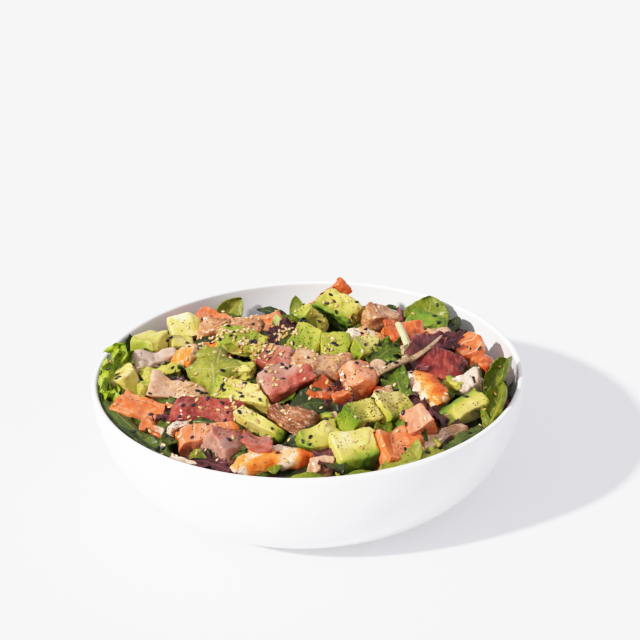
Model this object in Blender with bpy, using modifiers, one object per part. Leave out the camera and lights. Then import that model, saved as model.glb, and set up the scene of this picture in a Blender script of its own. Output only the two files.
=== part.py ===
"""Raw fish, shrimp and avocado salad on mixed leaves, in a deep round white bowl.

The bowl is a turned shape. The salad under the toppings is one heap that fills the
bowl, with the toppings and the large leaves pressed into its top. Each cube of fish,
shrimp or avocado is a piece of its own. Where two soft pieces meet, both are flattened
against a plane between them, as soft food is when it lies heaped up.

Metres, +Z up, origin on the table under the middle of the bowl, eater's side at -Y.
"""

import math
from collections import namedtuple

import bmesh
import bpy
import numpy as np
from mathutils import Euler, Matrix, Vector

MM = 0.001

# The bowl
RIM_RADIUS = 125 * MM
BOWL_HEIGHT = 70 * MM
WALL = 3.6 * MM
FLOOR_TOP = 7 * MM
FLOOR_RADIUS = 64 * MM
FOOT_RADIUS = 70 * MM
FOOT_WIDTH = 8 * MM
FOOT_HEIGHT = 2 * MM
FOOT_RECESS = 1.5 * MM
BELLY_PULL = 34.4 * MM
SHOULDER_PULL = 32.6 * MM
CURVE_POINTS = 9
LIP_POINTS = 5
TURN_STEPS = 40

# How much the toppings swell past their nominal length, width and height before they are
# pressed, and how far apart two middles can be for the pieces still to touch
PLUMP = (1.22, 1.22, 1.10)
NEIGHBOUR_REACH = 55 * MM

# Gaps between pieces that touch
GAP = 0.3 * MM
GROW = 0.55 * MM
LEAF_GROW = 0.9 * MM
WALL_GAP = 0.35 * MM
FLAT_ANGLE = math.radians(7.5)
WELD = 0.02 * MM
LEAF_ROOM = 0.3 * MM

# Flattening against the wall: the most cuts, what is left standing out, how far inside the
# wall a cut lies, and the step over which the wall's slope is measured
WALL_CUTS = 12
WALL_TOLERANCE = 0.01 * MM
WALL_CUT_DEPTH = 0.05 * MM
SLOPE_STEP = 0.5 * MM

# The heap of leaves under the toppings
HEAP_MIDDLE = 5.0 * MM
HEAP_EDGE = -10.0 * MM
HEAP_LEAN = 12.0 * MM
HEAP_LUMP = 1.8 * MM
HEAP_RINGS = 5
HEAP_STEPS = 24
HEAP_COLOUR = (0.10, 0.20, 0.05)
HEAP_ROUGHNESS = 0.6

# The heap's lumps: bumps round a ring, their twist and the rings' spacing in radians a metre
LUMPS_ROUND = 5
LUMP_TWIST = 90.0
LUMP_RINGS = 160.0

LEAF_THICKNESS = 0.9 * MM
LEAF_STATIONS = 7
LEAF_STRANDS = 4
LEAF_BLUNT = 0.16
LEAF_SHAPE = 0.8
LEAF_ROUGHNESS = 0.5

# A shrimp: sections and their sides, how much and how late it tapers, how much more
# towards its tail, and its curl and section width as shares of the whole width
SHRIMP_STATIONS = 6
SHRIMP_SIDES = 8
SHRIMP_TAPER = 0.62
SHRIMP_TAPER_POWER = 2.4
SHRIMP_TAIL = 0.12
SHRIMP_CURL = 0.22
SHRIMP_WIDTH = 0.44

GLAZE_COLOUR = (0.86, 0.86, 0.87)
GLAZE_ROUGHNESS = 0.18

# Cut food: how uneven its corners are, how round its edges are and how far one side swells,
# each as a share of the piece's smallest side, and its colour and roughness
Food = namedtuple("Food", "uneven round swell colour roughness")
FOODS = {
    "avocado": Food(0.15, 0.12, 0.12, (0.62, 0.70, 0.20), 0.45),
    "salmon": Food(0.16, 0.12, 0.04, (0.86, 0.32, 0.14), 0.30),
    "tuna": Food(0.20, 0.14, 0.08, (0.60, 0.13, 0.12), 0.32),
    "white_fish": Food(0.24, 0.16, 0.10, (0.72, 0.53, 0.44), 0.30),
    "shrimp": Food(0.0, 0.0, 0.0, (0.90, 0.48, 0.22), 0.38),
}

# Toppings: place of the middle (x, y, height over the rim) and size (length, width,
# height) in millimetres, then turn about Z, tilt about the length and tip about the width
Topping = namedtuple("Topping", "food x y z length width height turn tilt tip")
TOPPINGS = [
    # left and back left
    Topping("avocado", -95, 33, -2, 15, 14, 17, 150, 6, 8),
    Topping("avocado", -80, 41, -3, 15, 12, 12, 25, 30, 10),
    Topping("avocado", -75, 57, -3, 15, 14, 14, 12, 28, -10),
    Topping("salmon", -60, 73, -8, 21, 16, 15, -30, 20, 12),
    Topping("white_fish", -53, 46, 2, 19, 12, 10, -20, 25, 0),
    Topping("shrimp", -71, 12, 1, 21, 17, 15, -55, 10, -15),
    Topping("shrimp", -52, 17, 4, 21, 14, 12, 10, 0, 5),
    Topping("white_fish", -91, 16, -5, 23, 14, 14, 25, 25, 12),
    Topping("avocado", -103, -7, -8, 13, 14, 19, 150, -8, 24),
    Topping("avocado", -86, -1, -2, 20, 10, 9, 12, 15, 0),
    # the back and the middle
    Topping("avocado", -38, 19, 7, 24, 13, 10, -8, 22, 12),
    Topping("white_fish", -36, 36, 6, 16, 12, 10, 10, 20, 12),
    Topping("avocado", 3, 46, 8, 9, 9, 19, 20, 0, -42),
    Topping("avocado", 21, 60, 5, 22, 17, 20, -35, 24, 18),
    Topping("salmon", 10, 77, 5, 30, 5, 10, 0, 10, -40),
    Topping("avocado", -1, 8, 10, 16, 14, 12, -35, 24, 14),
    Topping("avocado", 17, 2, 10, 14, 12, 9, 12, 26, 0),
    Topping("white_fish", 9, -21, 9, 30, 18, 10, -6, 26, 6),
    Topping("tuna", -18, -10, 9, 18, 13, 10, -25, 24, 12),
    Topping("tuna", -15, -38, 7, 24, 18, 17, 28, 22, -14),
    Topping("shrimp", 33, 17, 8, 22, 17, 14, 25, 0, 10),
    Topping("avocado", 34, -1, 8, 15, 13, 12, 35, 26, 12),
    Topping("white_fish", 46, 50, 3, 20, 15, 14, 10, 15, 12),
    Topping("salmon", 27, -33, 7, 13, 14, 17, 30, 22, 24),
    Topping("salmon", -26, 63, -8, 20, 15, 13, 20, 8, 0),
    Topping("white_fish", 47, 84, -13, 18, 15, 12, -35, 0, -8),
    # right and back right
    Topping("salmon", 61, 28, 3, 22, 15, 11, 12, 26, 6),
    Topping("avocado", 73, 50, -3, 19, 12, 12, -25, 24, 10),
    Topping("tuna", 77, -12, -1, 21, 15, 14, -28, 28, 12),
    Topping("white_fish", 91, -26, -4, 12, 11, 18, 20, 15, -24),
    Topping("salmon", 97, 21, -3.5, 14, 14, 17, 31, 14, -14),
    Topping("salmon", 104, 1, -8, 12, 13, 15, -25, 15, -20),
    Topping("white_fish", 81, 27, -2, 15, 12, 13, 25, 20, 10),
    Topping("shrimp", 65, -42, 1, 30, 19, 17, -58, 8, 5),
    Topping("avocado", 82, -51, -5, 22, 13, 17, 38, 26, -10),
    # left front
    Topping("salmon", -90, -42, -5, 27, 15, 9, -28, 24, 10),
    Topping("salmon", -83, -57, -9, 18, 10, 9, -22, 20, 10),
    Topping("white_fish", -73, -29, 0, 28, 12, 10, -14, 28, 8),
    Topping("tuna", -56, -53, 0, 31, 15, 9, -12, 26, 5),
    Topping("white_fish", -71, -67, -7, 10, 9, 18, 15, 14, 18),
    Topping("salmon", -52, -71, -4, 29, 16, 14, 16, 28, 8),
    Topping("avocado", -37, -43, 4, 28, 13, 11, -18, 28, 8),
    Topping("avocado", -27, -68, 0, 22, 14, 13, -28, 26, 14),
    Topping("tuna", -41, -84, -5, 20, 18, 15, 35, 26, 14),
    Topping("shrimp", -17, -96, -7, 42, 20, 18, 10, 16, 0),
    # the front and the right front
    Topping("white_fish", -9, -67, 1, 19, 15, 15, -35, 26, 14),
    Topping("salmon", 8, -46, 6, 12, 11, 9, -25, 24, 14),
    Topping("avocado", 5, -81, -2, 19, 14, 12, 32, 26, 10),
    Topping("white_fish", 4, -99, -8, 12, 9, 13, 15, 18, 8),
    Topping("avocado", 22, -95, -6, 22, 16, 19, 24, 14, 10),
    Topping("avocado", 25, -70, 1, 20, 10, 23, 35, 28, 8),
    Topping("avocado", 44, -63, 0, 19, 16, 17, 38, 28, 10),
    Topping("salmon", 57, -76, -2, 14, 15, 23, 30, 22, -20),
    Topping("salmon", 43, -93, -7, 24, 16, 16, 24, 20, 10),
    Topping("white_fish", 70, -76, -8, 25, 11, 12, 35, 22, 8),
]

# Large leaves: name, place of the middle, length, width, turn about Z, slope of the
# length above level, bank of the width, how far it bends along and cups across, ruffle
Leaf = namedtuple("Leaf", "name x y z length width turn slope bank bend cup ruffle colour")
GREEN = (0.12, 0.26, 0.06)
BRIGHT_GREEN = (0.30, 0.50, 0.08)
LEAVES = [
    Leaf("spinach_leaf_front", -95, -56, -9, 78, 24, 31, 0, 62, 6, 4, 0.8, GREEN),
    Leaf("spinach_leaf_back", 76, 72, -4, 30, 28, -44, 62, 0, 4, 4, 0.5, GREEN),
    Leaf("frilly_leaf_left", -110, 14, -4, 38, 22, -7, 0, 66, 3, 3, 1.2, BRIGHT_GREEN),
]


def material(name, colour, roughness):
    """A plain Principled material of one colour."""
    finish = bpy.data.materials.new(name)
    finish.use_nodes = True
    shader = finish.node_tree.nodes["Principled BSDF"]
    shader.inputs["Base Color"].default_value = (*colour, 1.0)
    shader.inputs["Roughness"].default_value = roughness
    shader.inputs["Metallic"].default_value = 0.0
    return finish


def new_collection(name):
    """A collection in the scene."""
    group = bpy.data.collections.new(name)
    bpy.context.scene.collection.children.link(group)
    return group


def add_object(name, mesh, group, finish=None):
    """An object of this mesh in the group, with its material."""
    thing = bpy.data.objects.new(name, mesh)
    if finish is not None:
        mesh.materials.clear()
        mesh.materials.append(finish)
    group.objects.link(thing)
    return thing


def mesh_of(bm, name):
    """A mesh data block of an edit mesh, which is freed."""
    mesh = bpy.data.meshes.new(name)
    bm.to_mesh(mesh)
    bm.free()
    return mesh


def bezier(start, pull_start, pull_end, end, count):
    """Points along one cubic Bezier curve, with both ends."""
    t = np.linspace(0.0, 1.0, count)[:, None]
    ends = (1 - t) ** 3 * np.array(start) + t ** 3 * np.array(end)
    pulls = 3 * t * (1 - t) ** 2 * np.array(pull_start) + 3 * t ** 2 * (1 - t) * np.array(pull_end)
    return ends + pulls


def outer_wall():
    """The bowl's outer curve (radius, height), from the lip down to the foot."""
    lip_start = BOWL_HEIGHT - WALL / 2
    return bezier((RIM_RADIUS, lip_start), (RIM_RADIUS, SHOULDER_PULL),
                  (FOOT_RADIUS + BELLY_PULL, FOOT_HEIGHT), (FOOT_RADIUS, FOOT_HEIGHT), CURVE_POINTS)


def inner_wall():
    """The bowl's inner curve (radius, height), from the floor up to the lip."""
    lip_start = BOWL_HEIGHT - WALL / 2
    return bezier((FLOOR_RADIUS, FLOOR_TOP), (FLOOR_RADIUS + BELLY_PULL, FLOOR_TOP),
                  (RIM_RADIUS - WALL, SHOULDER_PULL + WALL), (RIM_RADIUS - WALL, lip_start),
                  CURVE_POINTS)


def make_bowl(group):
    """The turned bowl: belly, full round lip, flat floor and a low foot ring."""
    angles = np.linspace(0.0, np.pi, LIP_POINTS)[1:-1]
    middle = RIM_RADIUS - WALL / 2
    lip = np.column_stack([middle + WALL / 2 * np.cos(angles),
                           BOWL_HEIGHT - WALL / 2 + WALL / 2 * np.sin(angles)])
    foot_inner = FOOT_RADIUS - FOOT_WIDTH
    foot = np.array([(FOOT_RADIUS, 0.0), (foot_inner, 0.0),
                     (foot_inner - FOOT_RECESS, FOOT_RECESS), (0.0, FOOT_RECESS)])
    outside = np.vstack([outer_wall(), foot])
    points = np.vstack([outside, [(0.0, FLOOR_TOP)], inner_wall(), lip[::-1]])
    bm = bmesh.new()
    loop = [bm.verts.new((radius, 0.0, height)) for radius, height in points]
    count = len(loop)
    axis_edge = len(outside) - 1
    for index in range(count):
        if index != axis_edge:
            bm.edges.new((loop[index], loop[(index + 1) % count]))
    bowl = add_object("bowl", mesh_of(bm, "bowl"), group,
                      material("white glazed stoneware", GLAZE_COLOUR, GLAZE_ROUGHNESS))
    turn = bowl.modifiers.new("turn", "SCREW")
    turn.steps = TURN_STEPS
    turn.render_steps = TURN_STEPS
    turn.use_merge_vertices = True
    turn.merge_threshold = 0.00001
    turn.use_smooth_shade = True
    return bowl


def wall_room(height):
    """How far out food can reach at these heights, clear of the bowl's faceted inside."""
    curve = inner_wall()
    radius = np.interp(height, curve[:, 1], curve[:, 0])
    return radius * math.cos(math.pi / TURN_STEPS) - WALL_GAP


def corners(bm):
    """The places of an edit mesh's vertices as an array."""
    return np.array([vert.co for vert in bm.verts])


def cut(bm, point, normal):
    """Removes what lies beyond a plane and closes the cut."""
    geometry = bm.verts[:] + bm.edges[:] + bm.faces[:]
    bmesh.ops.bisect_plane(bm, geom=geometry, plane_co=Vector(point), plane_no=Vector(normal),
                           dist=1e-7, clear_outer=True)
    rim = [edge for edge in bm.edges if edge.is_boundary]
    bmesh.ops.holes_fill(bm, edges=rim, sides=0)
    bmesh.ops.remove_doubles(bm, verts=bm.verts[:], dist=WELD)


def trim_to_wall(bm):
    """Flattens a piece against the bowl's inner wall, one tangent plane at a time."""
    for _ in range(WALL_CUTS):
        places = corners(bm)
        reach = np.hypot(places[:, 0], places[:, 1])
        room = wall_room(places[:, 2])
        worst = int(np.argmax(reach - room))
        if reach[worst] - room[worst] < WALL_TOLERANCE:
            return
        height = places[worst, 2]
        slope = (wall_room(height + SLOPE_STEP) - wall_room(height - SLOPE_STEP)) / (2 * SLOPE_STEP)
        outward = np.array([places[worst, 0] / reach[worst], places[worst, 1] / reach[worst], -slope])
        touch = np.append(places[worst, :2] * room[worst] / reach[worst], height)
        cut(bm, touch - outward * WALL_CUT_DEPTH, outward / np.linalg.norm(outward))


def press_apart(first, second):
    """Flattens two overlapping pieces against the plane between them that cuts off least.

    The plane's direction is the face normal, or the line between the middles, along
    which the two overlap least. Pieces that are already apart are left alone.
    """
    a, b = corners(first), corners(second)
    between = b.mean(axis=0) - a.mean(axis=0)
    directions = [between / np.linalg.norm(between)]
    directions += [np.array(face.normal) for face in first.faces]
    directions += [-np.array(face.normal) for face in second.faces]
    directions = np.array(directions)
    reach = (a @ directions.T).max(axis=0)
    start = (b @ directions.T).min(axis=0)
    best = int(np.argmax(start - reach))
    if start[best] - reach[best] >= GAP:
        return
    direction = directions[best]
    middle = (start[best] + reach[best]) / 2
    cut(first, direction * (middle - GAP / 2), direction)
    cut(second, direction * (middle + GAP / 2), -direction)


def topping_size(topping):
    """A topping's length, width and height, swollen a little."""
    return np.array([topping.length, topping.width, topping.height]) * PLUMP * MM


def cut_cube(topping, food, rng):
    """A cut cube or slice with uneven corners, soft edges and one swollen side."""
    size = topping_size(topping)
    least = size.min()
    bm = bmesh.new()
    bmesh.ops.create_cube(bm, size=1.0)
    for vert in bm.verts:
        vert.co = Vector(np.array(vert.co) * size + rng.uniform(-1, 1, 3) * food.uneven * least)
    bmesh.ops.bevel(bm, geom=bm.edges[:], offset=food.round * least, segments=1, affect="EDGES",
                    profile=0.5)
    places = [vert.co.copy() for vert in bm.verts]
    bm.free()
    swell = size[0] / 2 + food.swell * least
    places += [Vector((swell, side * size[1] / 4, rise * size[2] / 4))
               for side, rise in ((-1, -1), (-1, 1), (1, -1), (1, 1))]
    hull = bmesh.new()
    for place in places:
        hull.verts.new(place)
    made = bmesh.ops.convex_hull(hull, input=hull.verts[:])
    loose = set(made["geom_interior"]) | set(made["geom_unused"])
    bmesh.ops.delete(hull, geom=[part for part in loose if isinstance(part, bmesh.types.BMVert)],
                     context="VERTS")
    return hull


def shrimp_body(topping):
    """A peeled shrimp: a tapering body of round sections along a gently curled line."""
    length, width, height = topping_size(topping)
    bm = bmesh.new()
    rings = []
    for station in np.linspace(-1.0, 1.0, SHRIMP_STATIONS):
        taper = math.sqrt(1.0 - SHRIMP_TAPER * abs(station) ** SHRIMP_TAPER_POWER)
        taper *= 1.0 - SHRIMP_TAIL * station
        curl = SHRIMP_CURL * width * (1.0 - 2.0 * station ** 2)
        ring = []
        for side in range(SHRIMP_SIDES):
            angle = 2 * math.pi * side / SHRIMP_SIDES
            across = SHRIMP_WIDTH * width * taper * math.cos(angle) + curl / 2
            rise = height / 2 * taper * math.sin(angle)
            ring.append(bm.verts.new((station * length / 2, across, rise)))
        rings.append(ring)
    for near, far in zip(rings, rings[1:]):
        for side in range(SHRIMP_SIDES):
            after = (side + 1) % SHRIMP_SIDES
            bm.faces.new((near[side], near[after], far[after], far[side]))
    bm.faces.new(rings[0][::-1])
    bm.faces.new(rings[-1])
    bmesh.ops.recalc_face_normals(bm, faces=bm.faces[:])
    return bm


def place_topping(topping):
    """The turn, tilt and place of a topping as one matrix."""
    turned = Euler([math.radians(a) for a in (topping.tilt, topping.tip, topping.turn)], "XYZ")
    middle = Vector((topping.x * MM, topping.y * MM, BOWL_HEIGHT + topping.z * MM))
    return Matrix.Translation(middle) @ turned.to_matrix().to_4x4()


def make_toppings(group):
    """All the cubes, slices and shrimp, pressed against each other and the wall."""
    rng = np.random.default_rng(7)
    bodies = []
    for topping in TOPPINGS:
        food = FOODS[topping.food]
        body = shrimp_body(topping) if topping.food == "shrimp" else cut_cube(topping, food, rng)
        body.transform(place_topping(topping))
        trim_to_wall(body)
        body.normal_update()
        bodies.append(body)
    for index, first in enumerate(bodies):
        for second in bodies[index + 1:]:
            apart = np.linalg.norm(corners(first).mean(axis=0) - corners(second).mean(axis=0))
            if apart < NEIGHBOUR_REACH:
                press_apart(first, second)
                first.normal_update()
                second.normal_update()
    finishes = {name: material(name, food.colour, food.roughness) for name, food in FOODS.items()}
    counts = dict.fromkeys(FOODS, 0)
    made = []
    for topping, body in zip(TOPPINGS, bodies):
        counts[topping.food] += 1
        name = f"{topping.food}_{counts[topping.food]:02d}"
        made.append(add_object(name, mesh_of(body, name), group, finishes[topping.food]))
    return made


def add_cutter(name, mesh, cutters, grow):
    """A slightly larger copy of a piece, to cut its place out of softer things."""
    bm = bmesh.new()
    bm.from_mesh(mesh)
    bm.normal_update()
    moves = [vert.normal * grow for vert in bm.verts]
    for vert, move in zip(bm.verts, moves):
        vert.co += move
    name = f"cutter_{name}"
    cutter = add_object(name, mesh_of(bm, name), cutters)
    cutter.hide_render = True
    cutter.display_type = "WIRE"
    return cutter


def largest_body(mesh):
    """Leaves only the largest connected body of a mesh, with its flat facets joined."""
    bm = bmesh.new()
    bm.from_mesh(mesh)
    bmesh.ops.remove_doubles(bm, verts=bm.verts[:], dist=WELD / 2)
    seen = set()
    bodies = []
    for start in bm.verts:
        if start in seen:
            continue
        body, front = {start}, [start]
        while front:
            vert = front.pop()
            near = {edge.other_vert(vert) for edge in vert.link_edges} - body
            body |= near
            front += near
        seen |= body
        bodies.append(body)
    bodies.sort(key=len)
    loose = [vert for body in bodies[:-1] for vert in body]
    bmesh.ops.delete(bm, geom=loose, context="VERTS")
    bmesh.ops.dissolve_limit(bm, angle_limit=FLAT_ANGLE, verts=bm.verts[:], edges=bm.edges[:])
    bmesh.ops.triangulate(bm, faces=bm.faces[:])
    bm.to_mesh(mesh)
    bm.free()


def apply_modifiers(thing):
    """Gives an object the mesh that its modifiers make."""
    bpy.context.view_layer.update()
    evaluated = thing.evaluated_get(bpy.context.evaluated_depsgraph_get())
    mesh = bpy.data.meshes.new_from_object(evaluated)
    thing.modifiers.clear()
    thing.data = mesh


def cut_places(thing, cutters):
    """Cuts every cutter out of a piece and keeps its largest body, as a plain mesh."""
    trim = thing.modifiers.new("places of the toppings", "BOOLEAN")
    trim.operand_type = "COLLECTION"
    trim.collection = cutters
    trim.operation = "DIFFERENCE"
    trim.solver = "EXACT"
    apply_modifiers(thing)
    largest_body(thing.data)


def leaf_sheet(leaf):
    """A leaf's middle surface as a grid.

    Along the leaf the width follows a half sine with blunt ends. The midrib bends down
    towards both ends, the sides cup up with the square of the distance from the midrib,
    and a sine wave ruffles the edge.
    """
    bm = bmesh.new()
    bmesh.ops.create_grid(bm, x_segments=LEAF_STRANDS, y_segments=LEAF_STATIONS, size=1.0)
    places = corners(bm)
    across, along = places[:, 0], places[:, 1]
    length, width = leaf.length * MM, leaf.width * MM
    share = LEAF_BLUNT + (1 - LEAF_BLUNT) * np.sin(np.pi * (along + 1) / 2) ** LEAF_SHAPE
    side = across * share * width / 2
    bend = -leaf.bend * MM * along ** 2
    cup = leaf.cup * MM * (across * share) ** 2
    ruffle = leaf.ruffle * MM * across ** 2 * np.sin(3 * np.pi * along)
    shaped = np.column_stack([side, along * length / 2, bend + cup + ruffle])
    for vert, place in zip(bm.verts, shaped):
        vert.co = place
    return bm


def make_leaf(leaf, group, cutters):
    """One large leaf, lying against the bowl's wall where it reaches it, and its cutter."""
    bm = leaf_sheet(leaf)
    turned = (Matrix.Rotation(math.radians(leaf.turn), 3, "Z")
              @ Matrix.Rotation(math.radians(leaf.slope), 3, "X")
              @ Matrix.Rotation(math.radians(leaf.bank), 3, "Y"))
    middle = Vector((leaf.x * MM, leaf.y * MM, BOWL_HEIGHT + leaf.z * MM))
    bm.transform(Matrix.Translation(middle) @ turned.to_4x4())
    room_inside = LEAF_THICKNESS / 2 + LEAF_ROOM
    for vert in bm.verts:
        reach = math.hypot(vert.co.x, vert.co.y)
        room = float(wall_room(vert.co.z)) - room_inside
        if reach > room:
            vert.co.x *= room / reach
            vert.co.y *= room / reach
    thing = add_object(leaf.name, mesh_of(bm, leaf.name), group,
                       material(leaf.name, leaf.colour, LEAF_ROUGHNESS))
    thicken = thing.modifiers.new("thickness", "SOLIDIFY")
    thicken.thickness = LEAF_THICKNESS
    thicken.offset = 0.0
    apply_modifiers(thing)
    whole = thing.data.copy()
    cut_places(thing, cutters)
    add_cutter(leaf.name, whole, cutters, LEAF_GROW)


def make_leaf_bed(group, cutters):
    """The heap of leaves: it fills the bowl's inside and rises to a low, lumpy mound.

    The mound falls with the square of the distance from the middle, and further towards
    the back of the bowl. Its top swells and dips with two crossed sine waves.
    """
    edge_height = BOWL_HEIGHT + HEAP_EDGE
    wall = inner_wall()
    wall = wall[wall[:, 1] < edge_height - HEAP_LEAN - 2 * MM]
    inset = [(float(wall_room(height)) - GAP, height) for _, height in wall[1:]]
    floor = [(0.0, FLOOR_TOP + GAP), (FLOOR_RADIUS - 2 * MM, FLOOR_TOP + GAP)]
    edge_radius = float(wall_room(edge_height)) - GAP
    top = [(edge_radius * share, edge_height + (HEAP_MIDDLE - HEAP_EDGE) * (1 - share ** 2))
           for share in np.linspace(1.0, 0.0, HEAP_RINGS + 1)]
    bm = bmesh.new()
    line = [bm.verts.new((radius, 0.0, height)) for radius, height in floor + inset + top]
    for near, far in zip(line, line[1:]):
        bm.edges.new((near, far))
    bmesh.ops.spin(bm, geom=bm.verts[:] + bm.edges[:], cent=(0, 0, 0), axis=(0, 0, 1),
                   angle=2 * math.pi, steps=HEAP_STEPS, use_merge=True)
    bmesh.ops.remove_doubles(bm, verts=bm.verts[:], dist=WELD / 2)
    for vert in bm.verts:
        if vert.co.z < edge_height - 0.5 * MM:
            continue
        reach = math.hypot(vert.co.x, vert.co.y)
        around = math.atan2(vert.co.y, vert.co.x)
        lump = math.sin(LUMPS_ROUND * around + LUMP_TWIST * reach)
        lump *= math.sin(LUMP_RINGS * reach + 2 * around)
        back_share = (1 + vert.co.y / edge_radius) / 2
        if reach < edge_radius - 1 * MM:
            vert.co.z += HEAP_LUMP * lump
        vert.co.z -= HEAP_LEAN * back_share ** 2
        room = float(wall_room(vert.co.z)) - GAP
        if reach > room:
            vert.co.x *= room / reach
            vert.co.y *= room / reach
    bmesh.ops.recalc_face_normals(bm, faces=bm.faces[:])
    bed = add_object("leaf_bed", mesh_of(bm, "leaf_bed"), group,
                     material("mixed salad leaves", HEAP_COLOUR, HEAP_ROUGHNESS))
    cut_places(bed, cutters)


def build():
    """The whole dish."""
    for thing in list(bpy.data.objects):
        bpy.data.objects.remove(thing, do_unlink=True)
    group = new_collection("sashimi_salad_bowl")
    cutters = new_collection("cutters")
    make_bowl(group)
    for topping in make_toppings(group):
        add_cutter(topping.name, topping.data, cutters, GROW)
    for leaf in LEAVES:
        make_leaf(leaf, group, cutters)
    make_leaf_bed(group, cutters)


build()
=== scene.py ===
# %% [markdown]
# # Raw fish and avocado salad in a white bowl
#
# The dish is a round stoneware bowl heaped with salad leaves. Cubes of avocado, salmon,
# tuna, white fish and shrimp lie on top, under toasted sesame and dried herbs.
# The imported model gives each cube's place and size. This lesson gives each one the shape
# and finish of the real food, and adds what is too thin or too small for the model:
# the leaves, the seeds and the herb flakes.

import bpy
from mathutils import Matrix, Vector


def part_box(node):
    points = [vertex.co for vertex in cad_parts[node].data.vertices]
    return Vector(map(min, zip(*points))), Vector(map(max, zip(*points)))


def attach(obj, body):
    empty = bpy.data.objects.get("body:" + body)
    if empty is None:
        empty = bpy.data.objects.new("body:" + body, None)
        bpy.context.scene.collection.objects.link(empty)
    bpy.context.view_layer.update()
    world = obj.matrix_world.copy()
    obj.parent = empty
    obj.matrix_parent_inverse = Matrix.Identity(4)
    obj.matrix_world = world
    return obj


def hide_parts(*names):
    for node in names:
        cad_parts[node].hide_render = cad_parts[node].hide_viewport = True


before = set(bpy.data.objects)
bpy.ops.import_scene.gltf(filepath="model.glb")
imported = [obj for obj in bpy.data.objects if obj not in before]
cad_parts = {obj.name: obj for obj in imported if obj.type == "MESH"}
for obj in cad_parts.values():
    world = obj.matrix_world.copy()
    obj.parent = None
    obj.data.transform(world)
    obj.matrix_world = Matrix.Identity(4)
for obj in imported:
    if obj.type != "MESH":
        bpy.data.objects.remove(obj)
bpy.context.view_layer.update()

# %% [markdown]
# ## Units and driving sizes
#
# Everything is in metres, and the table is at height 0. Food is easier to think of in
# millimetres above the bowl's rim, so places in the tables below are written that way.
# The bowl's radius and height are read from the model, and the rest follows from them.

# %% Sizes
import math
from collections import namedtuple

import bpy
import numpy as np
from mathutils import Matrix, Vector

MM = 0.001
RIM_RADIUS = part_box("bowl")[1].x
BOWL_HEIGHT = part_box("bowl")[1].z
WALL = 3.6 * MM
FLOOR_TOP = 7 * MM
FLOOR_RADIUS = 64 * MM
FOOT_RADIUS = 70 * MM
FOOT_WIDTH = 8 * MM
FOOT_HEIGHT = 2 * MM
FOOT_RECESS = 1.5 * MM
BELLY_PULL = 34.4 * MM
SHOULDER_PULL = 32.6 * MM


def over_rim(places):
    """Places in millimetres, with their height over the rim, as metres over the table."""
    return np.asarray(places, float) * MM + np.array([0.0, 0.0, BOWL_HEIGHT])


print("bowl radius", RIM_RADIUS, "height", BOWL_HEIGHT)

# %% [markdown]
# ## The camera
#
# The camera stands 778 mm from the middle of the rim, looks down at 27 degrees and has a
# 75 mm lens. It comes first, because every later choice is judged through it. Its axes
# are worked out by turning a level frame: up or down, then sideways, then a slight roll.

# %% Camera
CAMERA_DISTANCE = 0.778
CAMERA_RISE = math.radians(27.2)
AIM_UP = math.radians(1.94)
AIM_RIGHT = math.radians(0.60)
ROLL = math.radians(1.9)


def make_camera():
    """A camera on a sphere round the middle of the rim, aimed a little above and beside it."""
    offset = Vector((0.0, -math.cos(CAMERA_RISE), math.sin(CAMERA_RISE))) * CAMERA_DISTANCE
    camera = bpy.data.objects.new("camera", bpy.data.cameras.new("camera"))
    bpy.context.scene.collection.objects.link(camera)
    forward = -offset.normalized()
    right = Vector((1.0, 0.0, 0.0))
    up = right.cross(forward)
    turns = Matrix.Rotation(-AIM_RIGHT, 3, up)
    forward, right = turns @ forward, turns @ right
    turns = Matrix.Rotation(AIM_UP, 3, right)
    forward, up = turns @ forward, turns @ up
    turns = Matrix.Rotation(ROLL, 3, forward)
    right, up = turns @ right, turns @ up
    axes = Matrix((right, up, -forward)).transposed().to_4x4()
    camera.matrix_world = Matrix.Translation(Vector((0.0, 0.0, BOWL_HEIGHT)) + offset) @ axes
    camera.data.lens = 75.0
    camera.data.sensor_width = 36.0
    bpy.context.scene.camera = camera
    return camera


camera = make_camera()
print("camera at", [round(value, 4) for value in camera.location])

# %% [markdown]
# ## Colours and nodes
#
# A paint chart gives colours as hex codes, which are made for screens. Light is worked
# out in linear amounts instead, so one function turns the codes into those.

# %% Colour helper
def linear(hex_code):
    """Linear red, green, blue and alpha of an sRGB hex code.

    Each channel c is c / 12.92 below 0.04045, and ((c + 0.055) / 1.055) ** 2.4 above it.
    """
    srgb = np.array([int(hex_code[start:start + 2], 16) for start in (1, 3, 5)]) / 255
    channels = np.where(srgb <= 0.04045, srgb / 12.92, ((srgb + 0.055) / 1.055) ** 2.4)
    return (*channels.tolist(), 1.0)


print("mid grey is", linear("#808080"))

# %% [markdown]
# A material is a few nodes. One function adds any of them: it sets the node's own
# settings, fills in or links its inputs, and fills a colour ramp where one is given.
# Where an input is given a whole node, it is linked to that node's first output.

# %% Node helper
def add_node(material, kind, settings=None, inputs=None, stops=None):
    """Adds one node. An input is set to a value, or linked where a node or a socket is
    given for it."""
    node = material.node_tree.nodes.new("ShaderNode" + kind)
    for name, value in (settings or {}).items():
        setattr(node, name, value)
    for name, value in (inputs or {}).items():
        value = value.outputs[0] if isinstance(value, bpy.types.Node) else value
        if isinstance(value, bpy.types.NodeSocket):
            material.node_tree.links.new(value, node.inputs[name])
        else:
            node.inputs[name].default_value = value
    if stops:
        ramp = node.color_ramp.elements
        while len(ramp) < len(stops):
            ramp.new(0.5)
        for element, (position, hex_code) in zip(ramp, stops):
            element.position = position
            element.color = linear(hex_code)
    return node


def new_material(name):
    """An empty node material, and its output node."""
    material = bpy.data.materials.new(name)
    material.use_nodes = True
    material.node_tree.nodes.clear()
    return material, add_node(material, "OutputMaterial")


def finished(material, output, shader):
    """The material, with its shader joined to the surface."""
    material.node_tree.links.new(shader.outputs[0], output.inputs["Surface"])
    return material


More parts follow.
